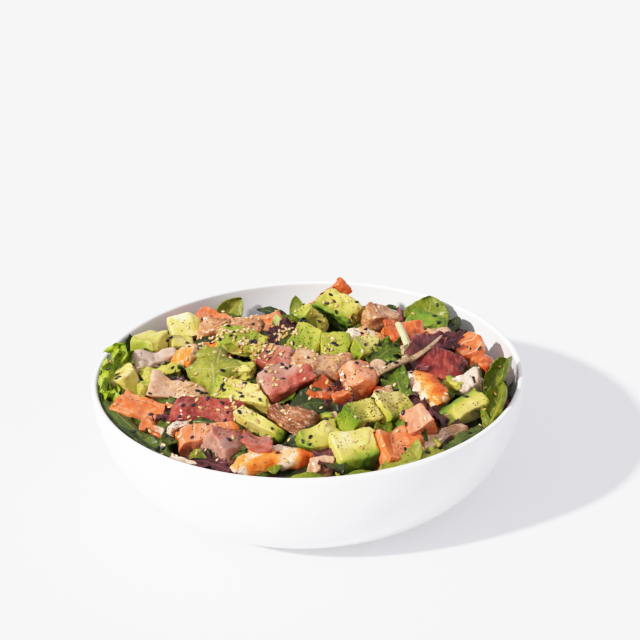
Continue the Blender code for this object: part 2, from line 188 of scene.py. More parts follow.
# Places of the two colours and the result on a colour Mix node
MIX_A, MIX_B, MIX_RESULT = 6, 7, 2
print("materials before the first piece:", len(bpy.data.materials))

# %% [markdown]
# ## Table, key light and sky
#
# A small lamp at the front left casts crisp shadows to the back right, and a bright white
# room fills them. A sun lamp stands for the small lamp, because it lights both sides of
# the bowl alike. The white table also glows a little: painted light that stands for the
# light a table under studio lamps gets from all round, so the shadow on it stays pale.

# %% Key light
KEY_AZIMUTH = math.radians(31.0)
KEY_RISE = math.radians(33.0)
KEY_SPREAD = math.radians(3.0)
KEY_STRENGTH = 3.4
SKY_STRENGTH = 0.78
TABLE_SIZE = 8.0
TABLE_GLOW = 0.30


def make_key_light():
    """A sun lamp from the front left. It shines along its own -Z axis."""
    lamp = bpy.data.lights.new("key_light", "SUN")
    lamp.energy = KEY_STRENGTH
    lamp.angle = KEY_SPREAD
    lamp.color = linear("#FFFCF6")[:3]
    key = bpy.data.objects.new("key_light", lamp)
    bpy.context.scene.collection.objects.link(key)
    travel = Vector((math.cos(KEY_AZIMUTH) * math.cos(KEY_RISE),
                     math.sin(KEY_AZIMUTH) * math.cos(KEY_RISE), -math.sin(KEY_RISE)))
    key.rotation_mode = "QUATERNION"
    key.rotation_quaternion = travel.to_track_quat("-Z", "Y")
    return key


make_key_light()
print("key light from", round(math.degrees(KEY_RISE)), "degrees up")


# %% Sky and table
def make_sky():
    """A white room: it lights evenly, and looks nearly white to the camera itself."""
    world = bpy.data.worlds.new("white_room")
    world.use_nodes = True
    world.node_tree.nodes.clear()
    fill = add_node(world, "Background",
                    inputs={"Color": linear("#F9F8FF"), "Strength": SKY_STRENGTH})
    seen = add_node(world, "Background",
                    inputs={"Color": linear("#F7F7F9"), "Strength": 1.0})
    path = add_node(world, "LightPath")
    mix = add_node(world, "MixShader",
                   inputs={0: path.outputs["Is Camera Ray"], 1: fill, 2: seen})
    add_node(world, "OutputWorld", inputs={"Surface": mix})
    bpy.context.scene.world = world


def make_table():
    """A wide white table top that glows a little: painted light that keeps its shadow pale."""
    half = TABLE_SIZE / 2
    mesh = bpy.data.meshes.new("table")
    mesh.from_pydata([(-half, -half, 0), (half, -half, 0), (half, half, 0), (-half, half, 0)],
                     [], [(0, 1, 2, 3)])
    material, output = new_material("matt white painted table")
    # The emission is painted light that keeps the table's shadow pale
    shader = add_node(material, "BsdfPrincipled",
                      inputs={"Base Color": linear("#CCCCCE"), "Roughness": 0.75,
                              "Emission Color": linear("#FDFDFF"), "Emission Strength": TABLE_GLOW})
    material.node_tree.links.new(shader.outputs[0], output.inputs["Surface"])
    mesh.materials.append(material)
    table = bpy.data.objects.new("table", mesh)
    bpy.context.scene.collection.objects.link(table)


make_sky()
make_table()
print("table width:", TABLE_SIZE)

# %% [markdown]
# A bright dish on a bright table would burn out to flat white. A camera's film eases
# towards white instead, so the soft greys of the glaze still show. A curve does the same.

# %% Film curve
# Scene brightness and the brightness it is shown with: straight up to about a half, then
# easing towards white at FILM_WHITE, as a camera does with bright things
FILM_WHITE = 2.0
FILM_CURVE = [(0.06, 0.045), (0.2, 0.19), (0.5, 0.51), (0.8, 0.77), (1.0, 0.885), (1.2, 0.95),
              (1.5, 0.985)]


def set_film_curve():
    """Shows bright tones as a camera does, with no clipped white."""
    view = bpy.context.scene.view_settings
    view.view_transform = "Standard"
    view.use_curve_mapping = True
    mapping = view.curve_mapping
    mapping.white_level = (FILM_WHITE, FILM_WHITE, FILM_WHITE)
    curve = mapping.curves[3]
    for bright, shown in FILM_CURVE:
        curve.points.new(bright / FILM_WHITE, shown)
    mapping.update()


set_film_curve()
print("film curve points:", len(FILM_CURVE) + 2)

# %% [markdown]
# ## From arrays to pieces
#
# Every piece below is a numpy array of points and an array of faces. These helpers turn
# them into a mesh object that rides on the dish, with its material, its UV map and the
# numbers along it that the material reads.

# %% Mesh helpers
Shape = namedtuple("Shape", "points faces uv values")


def grid_faces(rows, columns, closed=False):
    """Four-sided faces of a grid of rows x columns points, row by row.

    With closed, the last column joins the first.
    """
    row = np.arange(rows - 1)[:, None] * columns
    column = np.arange(columns if closed else columns - 1)[None, :]
    after = (column + 1) % columns
    corners = np.stack([row + column, row + after, row + columns + after, row + columns + column],
                       axis=-1)
    return corners.reshape(-1, 4)


def closed_tube(rings, first_end, last_end):
    """Rings of points (rows, steps, 3) with faces between them, closed at both ends.

    At an end every two neighbours on the last ring make a triangle with one end point.
    """
    rows, steps = rings.shape[:2]
    points = np.vstack([rings.reshape(-1, 3), first_end, last_end])
    quads = grid_faces(rows, steps, closed=True)
    start = np.arange(steps)
    after = (start + 1) % steps
    last = (rows - 1) * steps
    first_fan = np.stack([start, np.full(steps, rows * steps), after], axis=1)
    last_fan = np.stack([last + start, last + after, np.full(steps, rows * steps + 1)], axis=1)
    faces = np.vstack([quads[:, [0, 1, 2]], quads[:, [0, 2, 3]], first_fan, last_fan])
    return Shape(points, faces, None, {})


def join(shapes):
    """Several shapes as one: points are stacked, and face numbers move up by those before."""
    starts = np.cumsum([0] + [len(shape.points) for shape in shapes])
    faces = np.concatenate([shape.faces + start for shape, start in zip(shapes, starts)])
    points = np.concatenate([shape.points for shape in shapes])
    uv = None if shapes[0].uv is None else np.concatenate([shape.uv for shape in shapes])
    values = {key: np.concatenate([shape.values[key] for shape in shapes])
              for key in shapes[0].values}
    return Shape(points, faces, uv, values)


def facing_out(points, faces):
    """Faces in the order that points them outwards.

    The volume is a sixth of the sum of each triangle's triple product, and it is negative
    where the faces point inwards.
    """
    a, b, c = (points[faces[:, corner]] for corner in (0, 1, 2))
    volume = np.einsum("ij,ij->i", a, np.cross(b, c)).sum()
    if faces.shape[1] == 4:
        d = points[faces[:, 3]]
        volume += np.einsum("ij,ij->i", a, np.cross(c, d)).sum()
    return faces if volume > 0 else faces[:, ::-1]


def make_piece(name, shape, material, nodes=(), solid=True):
    """A smooth mesh object of a shape. It rides on the dish and stands for the named nodes."""
    faces = facing_out(shape.points, shape.faces) if solid else shape.faces
    mesh = bpy.data.meshes.new(name)
    mesh.from_pydata(shape.points.tolist(), [], faces.tolist())
    mesh.shade_smooth()
    if shape.uv is not None:
        loops = np.empty(len(mesh.loops), np.int32)
        mesh.loops.foreach_get("vertex_index", loops)
        layer = mesh.uv_layers.new(name="UVMap")
        layer.uv.foreach_set("vector", shape.uv[loops].astype(np.float32).ravel())
    for key, numbers in shape.values.items():
        attribute = mesh.attributes.new(key, "FLOAT", "POINT")
        attribute.data.foreach_set("value", numbers.astype(np.float32))
    mesh.materials.append(material)
    piece = bpy.data.objects.new(name, mesh)
    bpy.context.scene.collection.objects.link(piece)
    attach(piece, "root")
    if nodes:
        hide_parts(*nodes)
    return piece


def thicken(piece, thickness):
    """Gives a thin sheet its real thickness, half to each side of it."""
    wall = piece.modifiers.new("thickness", "SOLIDIFY")
    wall.thickness = thickness
    wall.offset = 0.0


print("helpers are ready")

# %% [markdown]
# ## Unevenness
#
# Food is never even. Random numbers on the corners of a fine cubic lattice, blended
# smoothly in between, give swells and dents of any size, and the same ones on each run.

# %% Lattice noise
LATTICE_VALUES = 4096
LATTICE_PRIMES = np.array([73856093, 19349663, 83492791])


def unevenness(points, cell, seed):
    """Smooth noise from about -1 to 1 with swells of this cell size.

    The eight lattice values round a point are weighted with the products of
    3 t squared - 2 t cubed, where t is the point's share of the way along each side.
    """
    table = np.random.default_rng(seed).uniform(-1.0, 1.0, LATTICE_VALUES)
    place = np.asarray(points) / cell
    low = np.floor(place).astype(np.int64)
    share = place - low
    share = share * share * (3.0 - 2.0 * share)
    total = np.zeros(place.shape[:-1])
    for corner in np.ndindex(2, 2, 2):
        keys = (low + corner) * LATTICE_PRIMES
        number = (keys[..., 0] ^ keys[..., 1] ^ keys[..., 2]) % LATTICE_VALUES
        weight = np.where(np.array(corner) == 1, share, 1.0 - share).prod(axis=-1)
        total += weight * table[number]
    return total * 1.4


def smooth_step(low, high, value):
    """0 below low, 1 above high, and 3 t squared - 2 t cubed in between."""
    t = np.clip((value - low) / (high - low), 0.0, 1.0)
    return t * t * (3.0 - 2.0 * t)


print("unevenness at one point:", unevenness(np.array([[0.01, 0.02, 0.03]]), 5 * MM, 1))

# %% [markdown]
# ## The bowl
#
# The real bowl is thrown or pressed stoneware, dipped in a white glaze. It is a turned
# shape: one outline carried round an axis. The outline is two smooth curves for the
# outside and the inside, a half round lip, and a low foot ring with softened edges.

# %% Bowl outline
WALL_CLEARANCE = 0.9 * MM
FOOT_EDGE = 0.4 * MM
CURVE_POINTS = 46
LIP_POINTS = 14
BOWL_STEPS = 180


def bezier(start, pull_start, pull_end, end, count):
    """Points of a cubic Bezier curve: the four points are weighted (1-t)^3, 3t(1-t)^2,
    3t^2(1-t) and t^3."""
    t = np.linspace(0.0, 1.0, count)[:, None]
    start, pull_start, pull_end, end = map(np.array, (start, pull_start, pull_end, end))
    ends = (1 - t) ** 3 * start + t ** 3 * end
    return ends + 3 * t * (1 - t) ** 2 * pull_start + 3 * t ** 2 * (1 - t) * pull_end


def inner_curve(count):
    """The bowl's inside (radius, height), from the floor up to the lip."""
    lip_start = BOWL_HEIGHT - WALL / 2
    return bezier((FLOOR_RADIUS, FLOOR_TOP), (FLOOR_RADIUS + BELLY_PULL, FLOOR_TOP),
                  (RIM_RADIUS - WALL, SHOULDER_PULL + WALL), (RIM_RADIUS - WALL, lip_start), count)


def wall_radius(height):
    """The radius of the bowl's inside at these heights, and that of the lip above it."""
    curve = inner_curve(60)
    return np.interp(height, curve[:, 1], curve[:, 0])


def inside_bowl(points):
    """Points moved straight in towards the axis where they would reach the bowl's wall."""
    reach = np.hypot(points[..., 0], points[..., 1])
    room = wall_radius(points[..., 2]) - WALL_CLEARANCE
    share = np.minimum(room / np.maximum(reach, 1e-6), 1.0)
    return points * np.stack([share, share, np.ones_like(share)], axis=-1)


def bowl_outline():
    """The whole outline (radius, height), from the middle of the underside, round the
    outside and the lip, to the middle of the inside."""
    lip_start = BOWL_HEIGHT - WALL / 2
    outer = bezier((FOOT_RADIUS, FOOT_HEIGHT), (FOOT_RADIUS + BELLY_PULL, FOOT_HEIGHT),
                   (RIM_RADIUS, SHOULDER_PULL), (RIM_RADIUS, lip_start), CURVE_POINTS)
    angles = np.linspace(0.0, np.pi, LIP_POINTS)[1:-1]
    lip = np.column_stack([RIM_RADIUS - WALL / 2 * (1 - np.cos(angles)),
                           lip_start + WALL / 2 * np.sin(angles)])
    inner_foot = FOOT_RADIUS - FOOT_WIDTH
    foot = [(inner_foot - FOOT_RECESS, FOOT_RECESS), (inner_foot, FOOT_EDGE / 2),
            (inner_foot + FOOT_EDGE, 0.0), (FOOT_RADIUS - FOOT_EDGE, 0.0),
            (FOOT_RADIUS, FOOT_EDGE / 2)]
    under = [(radius, FOOT_RECESS) for radius in np.linspace(0.0, inner_foot - 2 * FOOT_RECESS, 8)]
    floor = [(radius, FLOOR_TOP) for radius in np.linspace(FLOOR_RADIUS, 0.0, 8)[1:]]
    return np.vstack([under, foot, outer, lip, inner_curve(CURVE_POINTS)[::-1], floor])


def turned(outline, steps):
    """A closed turned shape: x = r cos a, y = r sin a for each outline point (r, z).

    The outline starts and ends on the axis, where all the faces meet in one point.
    """
    around = np.linspace(0.0, 2 * np.pi, steps, endpoint=False)
    radius, height = outline[1:-1, 0], outline[1:-1, 1]
    rings = np.stack([radius[:, None] * np.cos(around), radius[:, None] * np.sin(around),
                      np.repeat(height[:, None], steps, axis=1)], axis=-1)
    return closed_tube(rings, [0, 0, outline[0, 1]], [0, 0, outline[-1, 1]])


print("outline points:", len(bowl_outline()))

# %% [markdown]
# ### White glaze
#
# The glaze is a glass fired onto the clay. It is smooth to the touch, with a faint
# orange-peel swell some 9 mm across that makes reflections waver, and a slightly
# uneven white where it ran thinner. Its inner face is painted whiter still: painted
# light that brightens the inside wall.

# %% Glaze
GLAZE_SWELL = 9.0
GLAZE_PATCH = 30.0


def make_glaze():
    """White glazed stoneware: glassy, IOR 1.5, nearly white."""
    material, output = new_material("white glazed stoneware")
    place = add_node(material, "TexCoord")
    patches = add_node(material, "TexNoise",
                       inputs={"Vector": place.outputs["Object"], "Scale": 1000 / GLAZE_PATCH})
    inside = add_node(material, "Attribute", {"attribute_name": "inside"})
    # Random patches where the glaze ran thinner, plus painted light that makes the inner face
    # whiter
    thickness = add_node(material, "Math", {"operation": "MULTIPLY_ADD"},
                         {0: patches, 1: 0.5, 2: inside.outputs["Fac"]})
    colour = add_node(material, "ValToRGB", inputs={"Fac": thickness},
                      stops=[(0.15, "#EFEFF0"), (0.35, "#F5F5F6"), (0.65, "#FCFCFE")])
    swell = add_node(material, "TexNoise",
                     inputs={"Vector": place.outputs["Object"], "Scale": 1000 / GLAZE_SWELL})
    bump = add_node(material, "Bump",
                    inputs={"Height": swell, "Strength": 0.10, "Distance": 0.0006})
    shader = add_node(material, "BsdfPrincipled",
                      inputs={"Base Color": colour, "Roughness": 0.16, "IOR": 1.5,
                              "Normal": bump})
    return finished(material, output, shader)


def glazed_bowl():
    """The turned bowl, with the value inside: 1 on its inner face and 0 elsewhere. The glaze
    uses it to paint the inner face whiter, as painted light.
    """
    shape = turned(bowl_outline(), BOWL_STEPS)
    reach, height = np.hypot(shape.points[:, 0], shape.points[:, 1]), shape.points[:, 2]
    inside = (reach < wall_radius(height) + WALL / 4) & (height > FLOOR_TOP - 0.1 * MM)
    return shape._replace(values={"inside": inside.astype(float)})


bowl = make_piece("stoneware_bowl", glazed_bowl(), make_glaze(), ["bowl"])
print("bowl faces:", len(bowl.data.polygons))

# %% [markdown]
# ## Cut pieces of food
#
# A cube of avocado or fish is a flat-sided block whose edges have softened. The model
# holds each one as a convex solid. From its flat sides one smooth closed surface is
# worked out in a single formula, so that it fills its place and touches nothing else.
# Remeshing or bevelling would do as well, but the formula also tells how near an edge
# each point is, and keeps one even grid for the finish.

# %% Sides of a solid
SAME_SIDE = math.cos(math.radians(7.0))
SQUARE_ENOUGH = 0.35
SMALL_SIDE = 0.045


def node_triangles(name):
    """The triangles of a node of the model, as an array of corners."""
    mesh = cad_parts[name].data
    places = np.empty(len(mesh.vertices) * 3)
    mesh.vertices.foreach_get("co", places)
    mesh.calc_loop_triangles()
    corners = np.empty(len(mesh.loop_triangles) * 3, np.int32)
    mesh.loop_triangles.foreach_get("vertices", corners)
    return places.reshape(-1, 3)[corners].reshape(-1, 3, 3)


def flat_sides(triangles):
    """The middle of a convex solid, and its sides' normals and distances from the middle,
    largest side first, and how many of them are larger than a share SMALL_SIDE of the
    surface. Triangles that face the same way count as one side."""
    crosses = np.cross(triangles[:, 1] - triangles[:, 0], triangles[:, 2] - triangles[:, 0])
    sizes = np.linalg.norm(crosses, axis=1)
    ways = crosses / sizes[:, None]
    middle = (triangles.mean(axis=1) * sizes[:, None]).sum(axis=0) / sizes.sum()
    same = ways @ ways.T > SAME_SIDE
    normals, distances, areas = [], [], []
    free = np.ones(len(sizes), bool)
    for number in np.argsort(-sizes):
        if not free[number]:
            continue
        members = same[number] & free
        free &= ~members
        normals.append(ways[number])
        distances.append((triangles[number, 0] - middle) @ ways[number])
        areas.append(sizes[members].sum())
    areas = np.array(areas)
    order = np.argsort(-areas)
    large = int((areas > SMALL_SIDE * areas.sum()).sum())
    return middle, np.array(normals)[order], np.array(distances)[order], large


def main_axes(normals):
    """Three square axes: the largest side's normal, the next one nearly square to it, and
    the one square to both."""
    first = normals[0]
    square = [normal for normal in normals if abs(normal @ first) < SQUARE_ENOUGH]
    second = square[0] - (square[0] @ first) * first
    second /= np.linalg.norm(second)
    return np.array([first, second, np.cross(first, second)])


print("large sides of the first avocado cube:", flat_sides(node_triangles("avocado_01"))[3])

# %% [markdown]
# The grid of a block starts as a grid on a cube, because that has no poles. It is
# stretched to the block's length, width and height first, so that the points end up
# evenly spread.

# %% Softened block
Block = namedtuple("Block", "middle axes ways radius edge faces reach")
CORNER_ROOM = 0.10
CUBE_STEPS = 30
LOOSE_CRISPNESS = 7.0
LOOSE_STEPS = 22
SAG_CELL, SAG_DEPTH = 11 * MM, 1.7 * MM
NUDGE_CELL, NUDGE_DEPTH = 4.5 * MM, 0.55 * MM


def cube_grid(steps):
    """Points on a cube from -1 to 1, steps squares along each edge, welded, and its faces."""
    along, across = np.meshgrid(np.arange(steps + 1), np.arange(steps + 1), indexing="ij")
    sides = np.empty((3, 2, steps + 1, steps + 1, 3), int)
    for axis in range(3):
        for level in range(2):
            sides[axis, level, ..., axis] = level * steps
            sides[axis, level, ..., (axis + 1) % 3] = along
            sides[axis, level, ..., (axis + 2) % 3] = across
    points, numbers = np.unique(sides.reshape(-1, 3), axis=0, return_inverse=True)
    numbers = numbers.reshape(3, 2, steps + 1, steps + 1)
    quads = np.stack([numbers[..., :-1, :-1], numbers[..., 1:, :-1], numbers[..., 1:, 1:],
                      numbers[..., :-1, 1:]], axis=-1)
    quads[:, 0] = quads[:, 0, ..., ::-1]
    place = points / steps * 2.0 - 1.0
    return place * (1.5 - 0.5 * place ** 2), quads.reshape(-1, 4)


def soft_radius(nearness, crispness):
    """How far the surface is, where nearness is each side's cosine over its distance.

    It is the sum of the nearnesses to the power crispness, to the power -1 / crispness: in
    the middle of a side that is the side's distance, and at an edge two sides blend.
    """
    return (nearness ** crispness).sum(axis=1) ** (-1.0 / crispness)


def soften(middle, normals, distances, large, reach, axes, crispness, steps):
    """A block whose large sides meet in crisp edges.

    The small sides cut its corners only where they lie more than a share CORNER_ROOM
    inside what the large sides alone would make.
    """
    grid, faces = cube_grid(steps)
    box = np.where(grid > 0, grid * reach[1], -grid * reach[0])
    ways = box @ axes
    ways /= np.linalg.norm(ways, axis=1)[:, None]
    nearness = np.maximum(ways @ normals.T / distances, 1e-3)
    nearness[:, large:] /= 1 + CORNER_ROOM
    nearest = nearness.max(axis=1)
    radius = soft_radius(nearness, crispness)
    return Block(middle, axes, ways, radius, 1.0 - radius * nearest, faces, reach)


print("a cube grid of 26 steps has", len(cube_grid(26)[1]), "faces")

# %% [markdown]
# Two kinds of block are needed: one that stands for a solid of the model, and a loose one
# for scraps and crumbs that the model leaves out. Soft food also sags. The sag depends on
# the place alone, so that neighbours move together and never run into each other.

# %% Blocks and their sag
def block_of_node(name, crispness, steps):
    """The softened block that stands for a convex node of the model."""
    triangles = node_triangles(name)
    middle, normals, distances, large = flat_sides(triangles)
    axes = main_axes(normals)
    spread = (triangles.reshape(-1, 3) - middle) @ axes.T
    return soften(middle, normals, distances, large,
                  np.array([spread.min(axis=0), spread.max(axis=0)]), axes, crispness, steps)


def direction(azimuth, rise):
    """The unit vector at this azimuth from +X towards +Y and this height, in degrees."""
    azimuth, rise = math.radians(azimuth), math.radians(rise)
    return np.array([math.cos(azimuth) * math.cos(rise), math.sin(azimuth) * math.cos(rise),
                     math.sin(rise)])


def loose_block(place, size, turn, tilt, crispness, steps):
    """A softened block of its own: place over the rim and size in mm, turned about Z and
    tilted about its length."""
    about_z = Matrix.Rotation(math.radians(turn), 3, "Z")
    axes = np.array(about_z @ Matrix.Rotation(math.radians(tilt), 3, "X")).T
    half = np.array(size) * MM / 2
    normals = np.vstack([axes, -axes])
    return soften(over_rim(place), normals, np.tile(half, 2), 6, np.array([-half, half]), axes,
                  crispness, steps)


def sag(points):
    """How far soft food at these places has given way: slow and quick unevenness in each
    direction. It depends on the place alone, so neighbours sag together and stay apart."""
    slow = [unevenness(points, SAG_CELL, 71 + axis) * SAG_DEPTH for axis in range(3)]
    quick = [unevenness(points, NUDGE_CELL, 81 + axis) * NUDGE_DEPTH for axis in range(3)]
    return np.stack(slow, axis=-1) + np.stack(quick, axis=-1)


def block_shape(block, depth, values, softness=1.0):
    """The block's surface, pressed in by this depth at each point, and sagged."""
    points = block.middle + block.ways * (block.radius - depth)[:, None]
    return Shape(inside_bowl(points + softness * sag(points)), block.faces, None, values)


def along_block(block, way):
    """How far each point lies along a direction, from -1 at one end to 1 at the other."""
    far = (block.ways * block.radius[:, None]) @ way
    return (far - far.min()) / (far.max() - far.min()) * 2.0 - 1.0


print("sag at one point:", sag(np.array([[0.01, 0.02, 0.03]])))

# %% [markdown]
# ## Avocado
#
# Ripe avocado is buttery: pale yellow by the stone and green under the skin, and the
# colour runs from one to the other through a cube. A knife leaves flat, slightly
# smeared sides, and the soft corners break and mash where cubes are tossed together.
# Each cube has a side that was nearest the skin.

# %% Avocado flesh
AVOCADO_MOTTLE = 3.2
AVOCADO_GRAIN = 1.1
SKIN_LAYER = 3.8 * MM
SKIN_LEAN = 0.3
AVOCADO_SOFTNESS = 0.7
AVOCADO_CRISPNESS = 44.0
MASHED_LESS_CRISP = 30.0


def make_avocado_flesh():
    """Cut avocado flesh: a soft, slightly oily sheen (IOR 1.45, roughness about 0.4)."""
    material, output = new_material("ripe avocado flesh")
    place = add_node(material, "TexCoord")
    green = add_node(material, "Attribute", {"attribute_name": "green"})
    mottle = add_node(material, "TexNoise",
                      inputs={"Vector": place.outputs["Object"], "Scale": 1000 / AVOCADO_MOTTLE,
                              "Detail": 3.0})
    shift = add_node(material, "Math", {"operation": "MULTIPLY_ADD"},
                     {0: mottle, 1: 0.30, 2: green.outputs["Fac"]})
    colour = add_node(material, "ValToRGB", inputs={"Fac": shift},
                      stops=[(0.0, "#F1E6BC"), (0.09, "#E6D48E"), (0.20, "#DACA6C"),
                             (0.34, "#C0B852"), (0.58, "#97A238"), (0.82, "#6E8A28"),
                             (1.0, "#46641A")])
    grain = add_node(material, "TexNoise",
                     inputs={"Vector": place.outputs["Object"], "Scale": 1000 / AVOCADO_GRAIN,
                             "Detail": 2.0})
    bump = add_node(material, "Bump",
                    inputs={"Height": grain, "Strength": 0.35, "Distance": 0.0004})
    sheen = add_node(material, "MapRange",
                     inputs={"Value": mottle, "To Min": 0.32, "To Max": 0.5})
    shader = add_node(material, "BsdfPrincipled",
                      inputs={"Base Color": colour, "IOR": 1.45,
                              "Roughness": sheen, "Normal": bump,
                              "Subsurface Weight": 0.15, "Subsurface Radius": (1.0, 0.8, 0.25),
                              "Subsurface Scale": 0.003})
    return finished(material, output, shader)


avocado_flesh = make_avocado_flesh()
print("the green halves every", round(SKIN_LAYER / MM, 1), "mm below the skin")

# %% [markdown]
# ### The avocado cubes
#
# The greenest side of a real cube tells where the skin was, and the softest cubes are
# smeared and hollowed. Each cube has its own row, so that no two look alike.

# %% Avocado cubes
# For each avocado cube: the azimuth and rise of its skin side, how green it is there,
# and how mashed it is
AVOCADOS = {
    "avocado_01": (200, 0, 0.75, 0.0),
    "avocado_02": (120, 60, 0.15, 0.1),
    "avocado_03": (80, 30, -0.12, 0.2),
    "avocado_04": (80, 0, 0.10, 0.1),
    "avocado_05": (90, 60, 0.20, 1.0),
    "avocado_06": (200, 60, 0.50, 0.7),
    "avocado_07": (230, 0, 0.95, 0.6),
    "avocado_08": (230, -10, 0.80, 0.9),
    "avocado_09": (250, 20, 0.60, 0.3),
    "avocado_10": (270, 50, 0.42, 0.4),
    "avocado_11": (200, -10, 0.40, 0.3),
    "avocado_12": (250, 60, 0.78, 0.2),
    "avocado_13": (150, 30, 0.88, 0.1),
    "avocado_14": (180, 0, 0.85, 0.5),
    "avocado_15": (340, 0, 0.70, 0.4),
    "avocado_16": (240, 20, 0.62, 0.2),
    "avocado_17": (320, -20, 0.88, 0.0),
    "avocado_18": (240, 40, 0.72, 0.4),
    "avocado_19": (330, 0, 0.85, 0.3),
}


def avocado_shape(block, skin_way, greenness, mashed, seed):
    """Avocado: swells of 0.3 mm, and where it is mashed, torn hollows up to 2 mm deep.

    The green is strongest at the cut side nearest to the way the skin lay, and halves
    with each further SKIN_LAYER. A wide soft nick is left where a cube was pressed.
    """
    points = block.middle + block.ways * block.radius[:, None]
    swell = 0.5 + 0.5 * unevenness(points, 6 * MM, seed)
    torn = np.abs(unevenness(points, 3.4 * MM, seed + 1))
    torn += 0.5 * np.abs(unevenness(points, 1.6 * MM, seed + 2))
    nicks = smooth_step(0.5, 0.9, unevenness(points, 4.5 * MM, seed + 3))
    depth = MM * (0.35 * swell + 1.3 * mashed * torn + 0.7 * nicks)
    sides = np.vstack([block.axes, -block.axes])
    skin_side = sides[np.argmax(sides @ skin_way)] + SKIN_LEAN * skin_way
    below = (points - block.middle) @ skin_side
    green = greenness * 0.5 ** ((below.max() - below) / SKIN_LAYER)
    green += 0.08 * unevenness(points, 6 * MM, seed + 5) + 0.10 * mashed * torn
    return block_shape(block, depth, {"green": green}, AVOCADO_SOFTNESS)


def make_avocados():
    """Every avocado cube of the model."""
    for number, (name, (azimuth, rise, greenness, mashed)) in enumerate(AVOCADOS.items()):
        block = block_of_node(name, AVOCADO_CRISPNESS - MASHED_LESS_CRISP * mashed, CUBE_STEPS)
        shape = avocado_shape(block, direction(azimuth, rise), greenness, mashed, 100 + 10 * number)
        make_piece(f"{name}_cube", shape, avocado_flesh, [name])


make_avocados()
print("avocado cubes:", len(AVOCADOS))

# %% [markdown]
# ## Salmon
#
# Salmon muscle lies in layers a few millimetres thick, with thin white fat between
# them, so a cube shows a few pale lines. Fresh cut faces are wet and bright, and the
# flesh lets some light in: thin corners glow orange. Cubes from the belly are paler.

# %% Salmon flesh
FAT_LINE_SHARE = 0.09
STREAKS_A_LAYER = 3.5
STREAK_LENGTH = 3.0
FLESH_CLOUD = 3.6
SALMON_CRISPNESS = 40.0


def make_fish_flesh(name, stops, line_colour, milkiness, roughness):
    """Raw fish: wet (IOR 1.38), slightly see-through, in colours set by each cube's tint.

    The tint runs through the colour stops. Fine streaks follow the layers: their noise is
    stretched along them by reading the layer number as one coordinate. They are milky by
    the share milkiness. Where the layer number comes near a whole number, a line of fat or
    membrane crosses the cube.
    """
    material, output = new_material(name)
    place = add_node(material, "TexCoord")
    tint = add_node(material, "Attribute", {"attribute_name": "tint"})
    layer = add_node(material, "Attribute", {"attribute_name": "layer"})
    fat = add_node(material, "Attribute", {"attribute_name": "fat"})
    cloud = add_node(material, "TexNoise",
                     inputs={"Vector": place.outputs["Object"], "Scale": 1000 / FLESH_CLOUD,
                             "Detail": 4.0})
    spot = add_node(material, "SeparateXYZ", inputs={"Vector": place.outputs["Object"]})
    course = add_node(material, "Math", {"operation": "MULTIPLY"},
                      {0: layer.outputs["Fac"], 1: STREAKS_A_LAYER})
    slow = [add_node(material, "Math", {"operation": "MULTIPLY"},
                     {0: spot.outputs[axis], 1: 1000 / STREAK_LENGTH}) for axis in "XZ"]
    stretched = add_node(material, "CombineXYZ",
                         inputs={"X": course, "Y": slow[0].outputs[0], "Z": slow[1].outputs[0]})
    streaks = add_node(material, "TexNoise",
                       inputs={"Vector": stretched, "Scale": 1.0, "Detail": 2.0})
    mixed = add_node(material, "Math", {"operation": "MULTIPLY_ADD"},
                     {0: streaks, 1: 0.30, 2: tint.outputs["Fac"]})
    shift = add_node(material, "Math", {"operation": "MULTIPLY_ADD"},
                     {0: cloud, 1: 0.42, 2: mixed})
    flesh = add_node(material, "ValToRGB", inputs={"Fac": shift}, stops=stops)
    milky = add_node(material, "MapRange", {"interpolation_type": "SMOOTHSTEP"},
                     {"Value": streaks, "From Min": 0.48, "From Max": 0.72,
                      "To Min": 0.0, "To Max": milkiness})
    gap = add_node(material, "Math", {"operation": "PINGPONG"},
                   {0: layer.outputs["Fac"], 1: 0.5})
    line = add_node(material, "MapRange", {"interpolation_type": "SMOOTHSTEP"},
                    {"Value": gap, "From Min": 0.0, "From Max": FAT_LINE_SHARE,
                     "To Min": fat.outputs["Fac"], "To Max": 0.0})
    pale = add_node(material, "Math", {"operation": "MAXIMUM"},
                    {0: line, 1: milky})
    colour = add_node(material, "Mix", {"data_type": "RGBA"},
                      {"Factor": pale, MIX_A: flesh,
                       MIX_B: linear(line_colour)})
    relief = add_node(material, "Math", {"operation": "MULTIPLY_ADD"},
                      {0: streaks, 1: 0.6, 2: cloud})
    bump = add_node(material, "Bump",
                    inputs={"Height": relief, "Strength": 0.45, "Distance": 0.0006})
    shader = add_node(material, "BsdfPrincipled",
                      inputs={"Base Color": colour.outputs[MIX_RESULT], "IOR": 1.38,
                              "Roughness": roughness, "Normal": bump,
                              "Coat Weight": 0.45, "Coat Roughness": 0.14, "Coat IOR": 1.4,
                              "Subsurface Weight": 0.45, "Subsurface Radius": (1.0, 0.45, 0.25),
                              "Subsurface Scale": 0.004})
    return finished(material, output, shader)


salmon_flesh = make_fish_flesh("raw salmon flesh",
                               [(0.20, "#B8501C"), (0.40, "#DA6A30"), (0.62, "#E48049"),
                                (0.86, "#E49672"), (1.0, "#E8AC90")], "#F2CDB4", 0.24, 0.18)
print("materials so far:", len(bpy.data.materials))

# %% [markdown]
# ### The salmon cubes
#
# The layers of real salmon bend through a cube and open into shallow grooves where it
# was cut across them. The bends come from moving the layer number by slow unevenness, so
# the lines in the finish and the grooves in the shape stay together.

